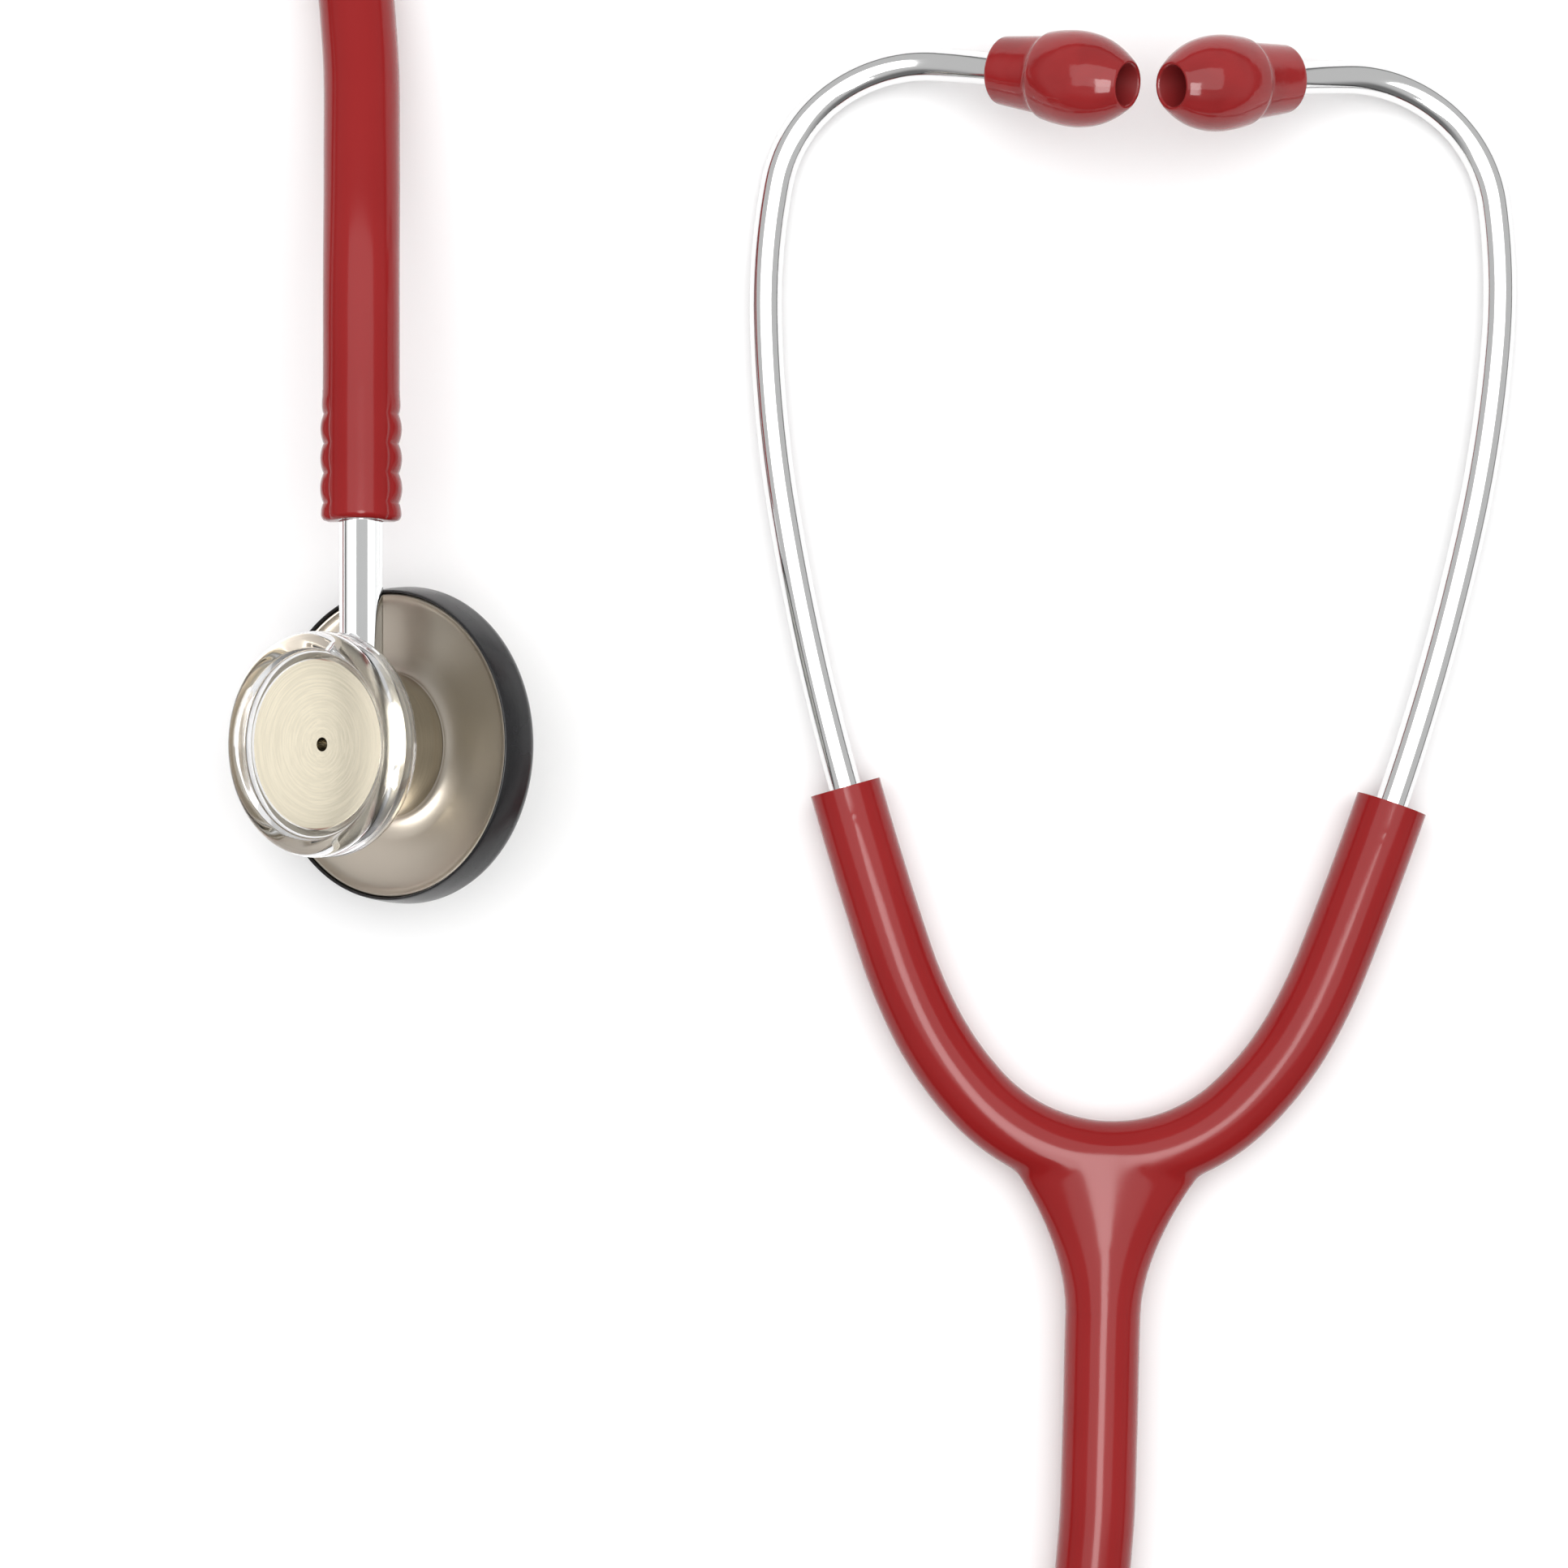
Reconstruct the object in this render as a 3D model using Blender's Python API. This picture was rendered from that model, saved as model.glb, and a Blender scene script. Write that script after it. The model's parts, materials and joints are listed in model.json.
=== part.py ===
"""A stethoscope laid out on a table: a dual-head chestpiece on a swivelling stem, one rubber tube, a
moulded yoke with a leaf spring inside it, and a bent headset with soft ear tips.

Metres, +Z up, the table at z = 0. The origin is under the middle of the solid pieces.
"""

import math

import bmesh
import bpy
from mathutils import Matrix, Vector

MM = 0.001
SEAT = 0.3 * MM          # clearance between pieces that seat in or on each other
RUNNING = 0.15 * MM      # clearance of the stem in its bearing

# Tubing
TUBE_RADIUS = 5.5 * MM
ARM_STEP = 0.4 * MM      # how much thinner the yoke's arms are than the tube
ARM_RADIUS = TUBE_RADIUS - ARM_STEP
GRIP_LENGTH = 17.8 * MM
GRIP_RIDGE = 0.35 * MM
GRIP_RIDGES = 3.2        # ridges along the grip end
YOKE_RISE = 22.3 * MM    # from the yoke's tube end to the middle of its U
YOKE_FLARE = 0.95        # how much wider the yoke's trunk is at FLARE_HEIGHT than at its end
FLARE_HEIGHT = 16.0 * MM
TRUNK_TILT = math.radians(-1.75)

# Headset: each bend is (length in mm, turn in the table's plane, turn upwards), in degrees.
# Both halves start at the middle of the yoke, heading straight outwards.
ARM_BENDS = ((21.2, -45, 0), (14.4, -17, -0.3), (10.8, -8, -0.3), (25, -2.5, 0))
EAR_TUBE_BENDS = (
    (42, -6.5, -1.4),
    (28, -8, 0),
    (20, -12, 0),
    (16, -44, 6.5),
    (16, -42, 18.3),
    (11, -6, 12.2),
)
EAR_TUBE_RADIUS = 2.4 * MM
EAR_TUBE_WALL = 0.7 * MM
EAR_TUBE_BORE = EAR_TUBE_RADIUS - EAR_TUBE_WALL
EAR_TUBE_IN_ARM = 18 * MM
EAR_TUBE_IN_TIP = 8 * MM
HINGE_ALONG = 28 * MM    # where each arm bends, along its centre line from the middle of the yoke
BORE_RADIUS = EAR_TUBE_RADIUS + SEAT

# Leaf spring inside the yoke
SPRING_ROOM = 0.6 * MM   # between the strip's edges and the yoke's bore
TONGUE_ROOM = 0.5 * MM   # between the tongue's edges and the ear tube's bore
SPRING_WIDTH = 2 * (BORE_RADIUS - SPRING_ROOM)
SPRING_THICKNESS = 0.8 * MM
TONGUE_WIDTH = 2 * (EAR_TUBE_BORE - TONGUE_ROOM)
TONGUE_LENGTH = 8 * MM

# Ear tips
TIP_LENGTH = 21.8 * MM
TIP_RADIUS = 6.9 * MM
TIP_MOUTH_RADIUS = 3.0 * MM
TIP_MOUTH_DEPTH = 5.0 * MM
TIP_SLEEVE_WALL = 1.0 * MM
TIP_SLEEVE_FLARE = 0.6 * MM
BULB_MIDDLE = 0.62       # share of the tip's length where the bulb is widest
INSERT_WALL = 0.9 * MM
INSERT_LENGTH = 8.5 * MM
INSERT_SUNK = 0.8 * MM

# Chestpiece: heights are along its own axis from the stem's centre line, bell side positive
TILT = math.radians(36)
HUB_RADIUS = 10.5 * MM
SEAM_HEIGHT = -5.7 * MM
CUP_FLARE_HEIGHT = 3.4 * MM
CUP_EDGE = 1.4 * MM      # height of the straight edge under the bell's seat
BELL_SEAT_HEIGHT = 7.6 * MM
BELL_SEAT_RADIUS = 14.0 * MM
BELL_SEAT_WIDTH = 2.0 * MM
FACE_RADIUS = BELL_SEAT_RADIUS - BELL_SEAT_WIDTH
FACE_STAND = 1.9 * MM    # how far the metal face stands above the bell's seat
FACE_HEIGHT = BELL_SEAT_HEIGHT + FACE_STAND
FACE_DISH = 1.1 * MM
PORT_RADIUS = 1.25 * MM
BELL_OVERHANG = 2.0 * MM
BELL_RING_RADIUS = BELL_SEAT_RADIUS + BELL_OVERHANG
BELL_LIP_RADIUS = 1.5 * MM
BELL_SKIRT = 1.6 * MM    # how far the clear ring comes down round the cup's edge
BELL_RING_TOP = FACE_HEIGHT + 1.9 * MM
SPIGOT_RADIUS = 6.0 * MM
FLANGE_RADIUS = 21.8 * MM
FLANGE_WALL = 1.2 * MM
FLANGE_DIP = 1.6 * MM    # how far the flange lies below the seam at its lowest
FLANGE_RISE = 0.9 * MM   # how far the flange's edge comes up again
FLANGE_FILLET = 3.4 * MM
SKIRT_DROP = 1.6 * MM    # how deep the flange is hollowed inside its skirt
RIM_WALL = 1.1 * MM
RIM_RADIUS = FLANGE_RADIUS + RIM_WALL
RIM_BOTTOM = -12.2 * MM
RIM_LIP = 2.4 * MM       # how far the rim reaches in under the diaphragm
RIM_FOOT = 2.2 * MM      # radius of the rim's rounded foot
DIAPHRAGM_THICKNESS = 0.5 * MM
DIAPHRAGM_STEP = 0.3 * MM     # how far the diaphragm's face stands below its held edge
DIAPHRAGM_HEIGHT = RIM_BOTTOM + 0.8 * MM

# Stem
STEM_RADIUS = 3.15 * MM
STEM_BORE = 1.6 * MM
STEM_INNER_END = -4.0 * MM
STEM_SHOW = 21.7 * MM    # bright length between the hub and the tube
BARB_DEPTH = 0.4 * MM
BARB_PITCH = 4.0 * MM
BARBS = 3
SEAL_INSET = 2.6 * MM    # from the hub's side to the middle of the seal
SEAL_RADIUS = 0.32 * MM
SEAL_GROOVE = 0.85 * MM
CLIP_ALONG = -2.9 * MM   # the snap ring that keeps the stem in the hub
CLIP_WIRE = 0.3 * MM
CLIP_RADIUS = STEM_RADIUS + RUNNING / 2

# Stem detent
DETENT_ALONG = 5.0 * MM  # from the chestpiece's axis, along the stem
SCREW_SUNK = 0.3 * MM
SCREW_OUTER = math.sqrt(HUB_RADIUS ** 2 - DETENT_ALONG ** 2) - SCREW_SUNK
DETENT_ROOM = SCREW_OUTER - STEM_RADIUS - RUNNING
BALL_RADIUS = 0.18 * DETENT_ROOM
BALL_CENTER = STEM_RADIUS + RUNNING + BALL_RADIUS
DETENT_BORE = BALL_RADIUS + SEAT
SCREW_LENGTH = 0.22 * DETENT_ROOM
COIL_WIRE = 0.15 * MM
COIL_RADIUS = DETENT_BORE - COIL_WIRE - SEAT
COIL_PITCH = 3.2 * COIL_WIRE

# The free tube's course from its grip end to the yoke: x and y in mm from the grip end, and the
# share of the stem's height that it still keeps above lying on the table
TUBE_COURSE = (
    (0, 0.3, 1), (0, 5, 1), (-0.1, 18, 0.92), (-0.4, 34, 0.68), (-1.2, 52, 0.34), (-4, 69, 0.1),
    (-13, 84, 0), (-28, 94.5, 0), (-46, 98.5, 0), (-64, 94.5, 0), (-79, 83, 0),
    (-87.5, 67, 0), (-89, 48, 0), (-86.5, 18, 0), (-82.5, -16, 0), (-79, -50, 0),
    (-76, -85, 0), (-75, -117, 0), (-75, -145, 0), (-71, -168, 0), (-59.5, -187.5, 0),
    (-40, -200.5, 0), (-14, -208, 0), (18, -213.5, 0), (47, -216, 0), (70, -213.5, 0),
    (87, -206, 0), (98, -194, 0), (104, -180.5, 0), (106, -166, 0), (106.6, -152, 0),
    (106.95, -137.8, 0), (107.1, -132.8, 0),
)
TUBE_POINTS = 34
ROUND = 32               # sides of the large turned pieces


# ---------------------------------------------------------------- materials

def finish(name, color, roughness, metallic=0.0, alpha=1.0):
    material = bpy.data.materials.new(name)
    material.use_nodes = True
    shader = material.node_tree.nodes["Principled BSDF"]
    shader.inputs["Base Color"].default_value = (*color, 1)
    shader.inputs["Roughness"].default_value = roughness
    shader.inputs["Metallic"].default_value = metallic
    shader.inputs["Alpha"].default_value = alpha
    return material


def make_finishes():
    return {
        "red": finish("red_rubber", (0.33, 0.025, 0.025), 0.35),
        "tip": finish("red_soft_plastic", (0.36, 0.02, 0.02), 0.2),
        "insert": finish("white_nylon", (0.75, 0.74, 0.7), 0.5),
        "chrome": finish("chrome", (0.8, 0.8, 0.8), 0.1, 1.0),
        "steel": finish("brushed_steel", (0.52, 0.47, 0.4), 0.3, 1.0),
        "spring": finish("spring_steel", (0.35, 0.36, 0.38), 0.35, 1.0),
        "clear": finish("clear_plastic", (0.95, 0.95, 0.95), 0.05, 0.0, 0.35),
        "black": finish("black_rubber", (0.02, 0.02, 0.02), 0.4),
        "diaphragm": finish("diaphragm_resin", (0.8, 0.8, 0.78), 0.3),
    }


# ---------------------------------------------------------------- shapes

def add_object(name, mesh, material, parent=None):
    mesh.name = name
    mesh.shade_smooth()
    mesh.set_sharp_from_angle(angle=math.radians(35))
    mesh.materials.clear()
    mesh.materials.append(material)
    obj = bpy.data.objects.new(name, mesh)
    obj.parent = parent
    bpy.context.scene.collection.objects.link(obj)
    return obj


def add_empty(name, location, parent=None, turn=(0, 0, 0)):
    empty = bpy.data.objects.new(name, None)
    empty.location = location
    empty.rotation_euler = turn
    empty.parent = parent
    bpy.context.scene.collection.objects.link(empty)
    return empty


def turned_mesh(profile, sides=ROUND):
    """A solid turned about local Z from a closed outline of (radius, height) points."""
    bm = bmesh.new()
    corners = [bm.verts.new((radius, 0, height)) for radius, height in profile]
    edges = [bm.edges.new(pair) for pair in zip(corners, corners[1:] + corners[:1])]
    bmesh.ops.spin(
        bm, geom=corners + edges, axis=(0, 0, 1), cent=(0, 0, 0),
        angle=2 * math.pi, steps=sides, use_merge=True,
    )
    bmesh.ops.remove_doubles(bm, verts=bm.verts[:], dist=0.002 * MM)
    bmesh.ops.dissolve_degenerate(bm, edges=bm.edges[:], dist=0.002 * MM)
    bmesh.ops.recalc_face_normals(bm, faces=bm.faces[:])
    mesh = bpy.data.meshes.new("turned")
    bm.to_mesh(mesh)
    bm.free()
    return mesh


def swept_mesh(points, radius, sides_quarter=2):
    """A round rod along the points, with flat closed ends."""
    curve = bpy.data.curves.new("rod", "CURVE")
    curve.dimensions = "3D"
    curve.bevel_depth = radius
    curve.bevel_resolution = sides_quarter
    curve.use_fill_caps = True
    spline = curve.splines.new("POLY")
    spline.points.add(len(points) - 1)
    for target, point in zip(spline.points, points):
        target.co = (*point, 1)
    rod = bpy.data.objects.new("rod", curve)
    bpy.context.scene.collection.objects.link(rod)
    graph = bpy.context.evaluated_depsgraph_get()
    mesh = bpy.data.meshes.new_from_object(rod.evaluated_get(graph))
    bpy.data.objects.remove(rod)
    bpy.data.curves.remove(curve)
    bm = bmesh.new()
    bm.from_mesh(mesh)
    bmesh.ops.remove_doubles(bm, verts=bm.verts[:], dist=0.002 * MM)
    bmesh.ops.recalc_face_normals(bm, faces=bm.faces[:])
    bm.to_mesh(mesh)
    bm.free()
    return mesh


def cut(obj, cutter, operation="DIFFERENCE"):
    """Applies a Boolean to the object's mesh, and removes the cutter."""
    modifier = obj.modifiers.new("cut", "BOOLEAN")
    modifier.operation = operation
    modifier.solver = "EXACT"
    modifier.object = cutter
    graph = bpy.context.evaluated_depsgraph_get()
    mesh = bpy.data.meshes.new_from_object(obj.evaluated_get(graph))
    obj.modifiers.remove(modifier)
    obj.data = mesh
    bpy.data.objects.remove(cutter)


def hidden_tool(mesh, parent=None):
    """A cutter or a part-shape that a Boolean uses up."""
    tool = bpy.data.objects.new("tool", mesh)
    tool.parent = parent
    tool.hide_render = True
    tool.display_type = "WIRE"
    bpy.context.scene.collection.objects.link(tool)
    return tool


def rod_tool(start, end, radius, parent=None, sides_quarter=4):
    return hidden_tool(swept_mesh((start, end), radius, sides_quarter), parent)


def arc(center, radii, start, end, steps):
    """Outline points on an ellipse's arc, angles in degrees."""
    points = []
    for step in range(steps + 1):
        angle = math.radians(start + (end - start) * step / steps)
        points.append((center[0] + radii[0] * math.cos(angle), center[1] + radii[1] * math.sin(angle)))
    return points


# ---------------------------------------------------------------- headset line

def headset_line(side):
    """(distance, point) along one half of the headset, from the middle of the yoke to the ear."""
    point = Vector((0, YOKE_RISE, TUBE_RADIUS))
    heading = 90.0
    climb = 0.0
    travelled = 0.0
    line = [(travelled, point.copy())]
    last_bend = ((EAR_TUBE_IN_TIP + TIP_LENGTH) / MM, 0, 0)
    for length, turn, lift in ARM_BENDS + EAR_TUBE_BENDS + (last_bend,):
        steps = round(length)
        for step in range(steps):
            along = (step + 0.5) / steps
            bearing = math.radians(heading + turn * along)
            rise = math.radians(climb + lift * along)
            advance = length * MM / steps
            point += advance * Vector((
                side * math.sin(bearing) * math.cos(rise),
                math.cos(bearing) * math.cos(rise),
                math.sin(rise),
            ))
            travelled += advance
            line.append((travelled, point.copy()))
        heading += turn
        climb += lift
    return line


def point_at(line, distance):
    for (before, start), (after, end) in zip(line, line[1:]):
        if distance <= after:
            return start.lerp(end, max(0.0, (distance - before) / (after - before)))
    (before, start), (after, end) = line[-2:]
    return end + (end - start).normalized() * (distance - after)


def stretch(line, start, end, spacing):
    steps = max(1, round((end - start) / spacing))
    return [point_at(line, start + (end - start) * step / steps) for step in range(steps + 1)]


ARM_LENGTH = sum(bend[0] for bend in ARM_BENDS) * MM
EAR_TUBE_START = ARM_LENGTH - EAR_TUBE_IN_ARM
TIP_START = ARM_LENGTH + sum(bend[0] for bend in EAR_TUBE_BENDS) * MM
EAR_TUBE_END = TIP_START + EAR_TUBE_IN_TIP


# ---------------------------------------------------------------- yoke and headset

def make_yoke(finishes, headset):
    """The Y-shaped moulding: a U of two arms on a flared trunk, bored right through."""
    left, right = headset_line(-1), headset_line(1)
    outer = stretch(left, 0, ARM_LENGTH, 5 * MM)[::-1] + stretch(right, 0, ARM_LENGTH, 5 * MM)[1:]
    inner_end = ARM_LENGTH + TUBE_RADIUS
    bore = stretch(left, 0, inner_end, 5 * MM)[::-1] + stretch(right, 0, inner_end, 5 * MM)[1:]
    yoke = add_object("yoke", swept_mesh(outer, ARM_RADIUS, 3), finishes["red"], headset)
    cut(yoke, hidden_tool(trunk_mesh(), headset), "UNION")
    cut(yoke, hidden_tool(swept_mesh(bore, BORE_RADIUS, 2), headset))
    below = Vector((0, -TUBE_RADIUS, TUBE_RADIUS))
    middle = Vector((0, YOKE_RISE, TUBE_RADIUS))
    cut(yoke, rod_tool(below, middle, BORE_RADIUS, headset, 2))
    return yoke


def trunk_mesh():
    """The trunk: round where the tube leaves it, and flared sideways into the U."""
    steps = 6
    points = [Vector((0, YOKE_RISE * step / steps, TUBE_RADIUS)) for step in range(steps + 1)]
    mesh = swept_mesh(points, TUBE_RADIUS, 3)
    for vertex in mesh.vertices:
        height = max(vertex.co.y, 0.0)
        vertex.co.x *= 1 + YOKE_FLARE * (height / FLARE_HEIGHT) ** 1.7
        taper = 1 - (1 - ARM_RADIUS / TUBE_RADIUS) * 1.2 * height / YOKE_RISE
        vertex.co.z = TUBE_RADIUS + (vertex.co.z - TUBE_RADIUS) * taper
    return mesh


def make_leaf_spring(finishes, headset):
    """A strip on edge in the yoke's bore, with a narrow tongue in each ear tube's end."""
    clearance = SEAT
    shoulder = EAR_TUBE_START - clearance
    end = shoulder + TONGUE_LENGTH
    halves = []
    for side in (-1, 1):
        line = headset_line(side)
        wide = stretch(line, 0, shoulder - clearance, 4 * MM)
        tongue = stretch(line, shoulder, end, 4 * MM)
        halves.append((wide, tongue))
    path = (halves[0][0] + halves[0][1])[::-1] + (halves[1][0] + halves[1][1])[1:]
    tongue_points = len(halves[0][1])
    widths = [TONGUE_WIDTH if k < tongue_points or k >= len(path) - tongue_points else SPRING_WIDTH
              for k in range(len(path))]
    bm = bmesh.new()
    pairs = []
    for point, width in zip(path, widths):
        low = bm.verts.new(point - Vector((0, 0, width / 2)))
        high = bm.verts.new(point + Vector((0, 0, width / 2)))
        pairs.append((low, high))
    for (low, high), (next_low, next_high) in zip(pairs, pairs[1:]):
        bm.faces.new((low, next_low, next_high, high))
    mesh = bpy.data.meshes.new("strip")
    bm.to_mesh(mesh)
    bm.free()
    spring = add_object("leaf_spring", mesh, finishes["spring"], headset)
    solid = spring.modifiers.new("thickness", "SOLIDIFY")
    solid.thickness = SPRING_THICKNESS
    solid.offset = 0
    return spring


def make_ear_tube(name, side, finishes, headset, hinge):
    line = headset_line(side)
    tube = stretch(line, EAR_TUBE_START, EAR_TUBE_END, 5.5 * MM)
    bore = stretch(line, EAR_TUBE_START - 2 * MM, EAR_TUBE_END + 2 * MM, 5.5 * MM)
    outer = add_object(name, swept_mesh(tube, EAR_TUBE_RADIUS, 2), finishes["chrome"], headset)
    cut(outer, hidden_tool(swept_mesh(bore, EAR_TUBE_BORE, 1), headset))
    hang_on_hinge(outer, hinge)
    return outer


def hang_on_hinge(obj, hinge):
    """Moves the object's origin to the hinge, with its shape where it was."""
    obj.data.transform(Matrix.Translation(-hinge.location))
    obj.parent = hinge


def tip_frame(side):
    """Where the ear tip's base is, turned so that local Z runs out along the tip."""
    line = headset_line(side)
    base = point_at(line, TIP_START)
    direction = (point_at(line, TIP_START + TIP_LENGTH) - base).normalized()
    return Matrix.Translation(base) @ direction.to_track_quat("Z", "Y").to_matrix().to_4x4()


def tip_profile():
    """The soft tip: a sleeve that widens towards an olive-shaped bulb, with a flared mouth."""
    socket = EAR_TUBE_RADIUS + INSERT_WALL + 2 * SEAT
    channel = EAR_TUBE_BORE
    socket_end = INSERT_LENGTH + 2 * SEAT
    sleeve = socket + TIP_SLEEVE_WALL
    bevel = TIP_SLEEVE_WALL / 4
    bulb_middle = BULB_MIDDLE * TIP_LENGTH
    bulb = arc((0, bulb_middle), (TIP_RADIUS, TIP_LENGTH - bulb_middle), -36, 62, 9)
    mouth = arc(
        (TIP_MOUTH_RADIUS, TIP_LENGTH - TIP_MOUTH_DEPTH),
        (TIP_MOUTH_RADIUS - channel, TIP_MOUTH_DEPTH - bevel), 90, 180, 3,
    )
    return [
        (socket, bevel), (socket + bevel, 0), (sleeve - bevel, 0),
        (sleeve, 2 * bevel), (sleeve + TIP_SLEEVE_FLARE, 0.3 * TIP_LENGTH),
        *bulb, *mouth, (channel, socket_end), (socket, socket_end),
    ]


def make_ear_tip(name, side, finishes, headset, hinge):
    tip = add_object(name, turned_mesh(tip_profile(), 20), finishes["tip"], headset)
    tip.data.transform(tip_frame(side))
    hang_on_hinge(tip, hinge)
    return tip


def make_tip_insert(name, side, finishes, headset, hinge):
    """The hard sleeve inside the soft tip that grips the ear tube's end."""
    inner = EAR_TUBE_RADIUS + SEAT
    outer = inner + INSERT_WALL
    profile = [(inner, INSERT_SUNK), (outer, INSERT_SUNK), (outer, INSERT_LENGTH), (inner, INSERT_LENGTH)]
    insert = add_object(name, turned_mesh(profile, 16), finishes["insert"], headset)
    insert.data.transform(tip_frame(side))
    hang_on_hinge(insert, hinge)
    return insert


def make_headset(finishes, headset):
    make_yoke(finishes, headset)
    make_leaf_spring(finishes, headset)
    for name, side in (("left", -1), ("right", 1)):
        hinge = add_empty(f"{name}_hinge", point_at(headset_line(side), HINGE_ALONG), headset)
        make_ear_tube(f"{name}_ear_tube", side, finishes, headset, hinge)
        make_ear_tip(f"{name}_ear_tip", side, finishes, headset, hinge)
        make_tip_insert(f"{name}_tip_insert", side, finishes, headset, hinge)


# ---------------------------------------------------------------- chestpiece

def hub_profile():
    """The hub and bell cup, bored through: spigot, neck, flare to the bell seat, dished face."""
    foot = SEAM_HEIGHT
    spigot_end = foot - FLANGE_DIP - FLANGE_WALL
    flare = arc(
        (BELL_SEAT_RADIUS, CUP_FLARE_HEIGHT),
        (BELL_SEAT_RADIUS - HUB_RADIUS, BELL_SEAT_HEIGHT - CUP_EDGE - CUP_FLARE_HEIGHT), 180, 90, 4,
    )
    shares = [1 - step / 4 for step in range(4)]
    face = [(FACE_RADIUS * share, FACE_HEIGHT - FACE_DISH * (1 - share ** 2)) for share in shares]
    return [
        (SPIGOT_RADIUS, spigot_end), (SPIGOT_RADIUS, foot), (HUB_RADIUS, foot), *flare,
        (BELL_SEAT_RADIUS, BELL_SEAT_HEIGHT), (FACE_RADIUS, BELL_SEAT_HEIGHT), *face,
        (PORT_RADIUS, FACE_HEIGHT - FACE_DISH), (PORT_RADIUS, spigot_end),
    ]


def flange_profile():
    """The diaphragm housing: a flared disc with a central bore for the hub's spigot."""
    top = SEAM_HEIGHT - SEAT
    low = top - FLANGE_DIP
    edge = low + FLANGE_RISE
    bore = SPIGOT_RADIUS + SEAT
    flare = arc((HUB_RADIUS + FLANGE_FILLET, top), (FLANGE_FILLET, FLANGE_DIP), 180, 270, 4)
    skirt_end = DIAPHRAGM_HEIGHT + DIAPHRAGM_STEP + DIAPHRAGM_THICKNESS + SEAT
    inner_edge = FLANGE_RADIUS - FLANGE_WALL
    return [
        (bore, top), *flare, (FLANGE_RADIUS, edge), (FLANGE_RADIUS, skirt_end),
        (inner_edge, skirt_end), (inner_edge, edge - FLANGE_WALL - SKIRT_DROP),
        (0.7 * FLANGE_RADIUS, low - FLANGE_WALL), (bore, low - FLANGE_WALL),
    ]


def rim_profile():
    """The black rim: a tall band round the housing that holds the diaphragm from below."""
    inner = FLANGE_RADIUS + SEAT
    top = SEAM_HEIGHT + SEAT
    band = RIM_RADIUS - inner
    lip = FLANGE_RADIUS - RIM_LIP
    seat = DIAPHRAGM_HEIGHT + DIAPHRAGM_STEP - SEAT
    foot = arc((RIM_RADIUS - RIM_FOOT, RIM_BOTTOM + RIM_FOOT), (RIM_FOOT, RIM_FOOT), 0, -90, 5)
    return [
        (inner, top), (inner + 0.4 * band, top), (inner + 0.75 * band, top - 1.1 * band),
        *foot, (lip, RIM_BOTTOM), (lip, seat), (inner, seat),
    ]


def bell_ring_profile():
    """The clear ring: a rounded outer lip with a sloping inner wall down to the metal face."""
    inner = FACE_RADIUS + SEAT
    outer = BELL_RING_RADIUS
    floor = BELL_SEAT_HEIGHT + SEAT
    skirt_inner = BELL_SEAT_RADIUS + SEAT
    lip_center = (outer - BELL_LIP_RADIUS, BELL_RING_TOP - BELL_LIP_RADIUS)
    lip = arc(lip_center, (BELL_LIP_RADIUS, BELL_LIP_RADIUS), -20, 130, 6)
    return [
        (inner, floor), (skirt_inner, floor), (skirt_inner, floor - BELL_SKIRT),
        (outer - BELL_LIP_RADIUS / 3, floor - BELL_SKIRT), *lip, (inner, FACE_HEIGHT),
    ]


def diaphragm_profile():
    """A thin disc whose face, inside the rim's lip, is pressed out a little below its held edge."""
    face_edge = FLANGE_RADIUS - RIM_LIP - SEAT - DIAPHRAGM_STEP
    held_from = face_edge + DIAPHRAGM_STEP
    radius = FLANGE_RADIUS - SEAT
    face = DIAPHRAGM_HEIGHT
    held = face + DIAPHRAGM_STEP
    return [
        (0, face), (face_edge, face), (held_from, held), (radius, held),
        (radius, held + DIAPHRAGM_THICKNESS), (held_from, held + DIAPHRAGM_THICKNESS),
        (face_edge, face + DIAPHRAGM_THICKNESS), (0, face + DIAPHRAGM_THICKNESS),
    ]


def lowest_reach(profile):
    """How far below the stem's centre line the tilted outline reaches."""
    return max(-height * math.cos(TILT) + radius * math.sin(TILT) for radius, height in profile)


ALONG_STEM = Matrix.Rotation(math.radians(-90), 4, "X")
STEM_HEIGHT = lowest_reach(rim_profile())
STEM_GRIP_START = HUB_RADIUS + STEM_SHOW
GRIP_END = STEM_GRIP_START + GRIP_LENGTH


def make_chestpiece(finishes, swivel):
    hub = add_object("hub", turned_mesh(hub_profile()), finishes["steel"], swivel)
    bore_end = STEM_INNER_END - SEAT
    bearing = STEM_RADIUS + RUNNING
    cut(hub, rod_tool(Vector((0, bore_end, 0)), Vector((0, 2 * HUB_RADIUS, 0)), bearing, swivel, 6))
    cut(hub, hidden_tool(clip_groove_mesh(), swivel))
    detent_start = Vector((-STEM_RADIUS, DETENT_ALONG, 0))
    detent_end = Vector((-2 * HUB_RADIUS, DETENT_ALONG, 0))
    cut(hub, rod_tool(detent_start, detent_end, DETENT_BORE, swivel, 3))
    add_object("diaphragm_housing", turned_mesh(flange_profile()), finishes["steel"], swivel)
    add_object("rim_ring", turned_mesh(rim_profile()), finishes["black"], swivel)
    add_object("bell_ring", turned_mesh(bell_ring_profile()), finishes["clear"], swivel)
    add_object("diaphragm", turned_mesh(diaphragm_profile()), finishes["diaphragm"], swivel)
    make_detent(finishes, swivel)


def clip_groove_mesh():
    """The ring cut into the hub's bearing for the snap ring."""
    inner = STEM_RADIUS - RUNNING
    outer = CLIP_RADIUS + CLIP_WIRE + SEAT
    low = CLIP_ALONG - CLIP_WIRE - SEAT
    high = CLIP_ALONG + CLIP_WIRE + SEAT
    mesh = turned_mesh([(inner, low), (outer, low), (outer, high), (inner, high)], 16)
    mesh.transform(ALONG_STEM)
    return mesh


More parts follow.
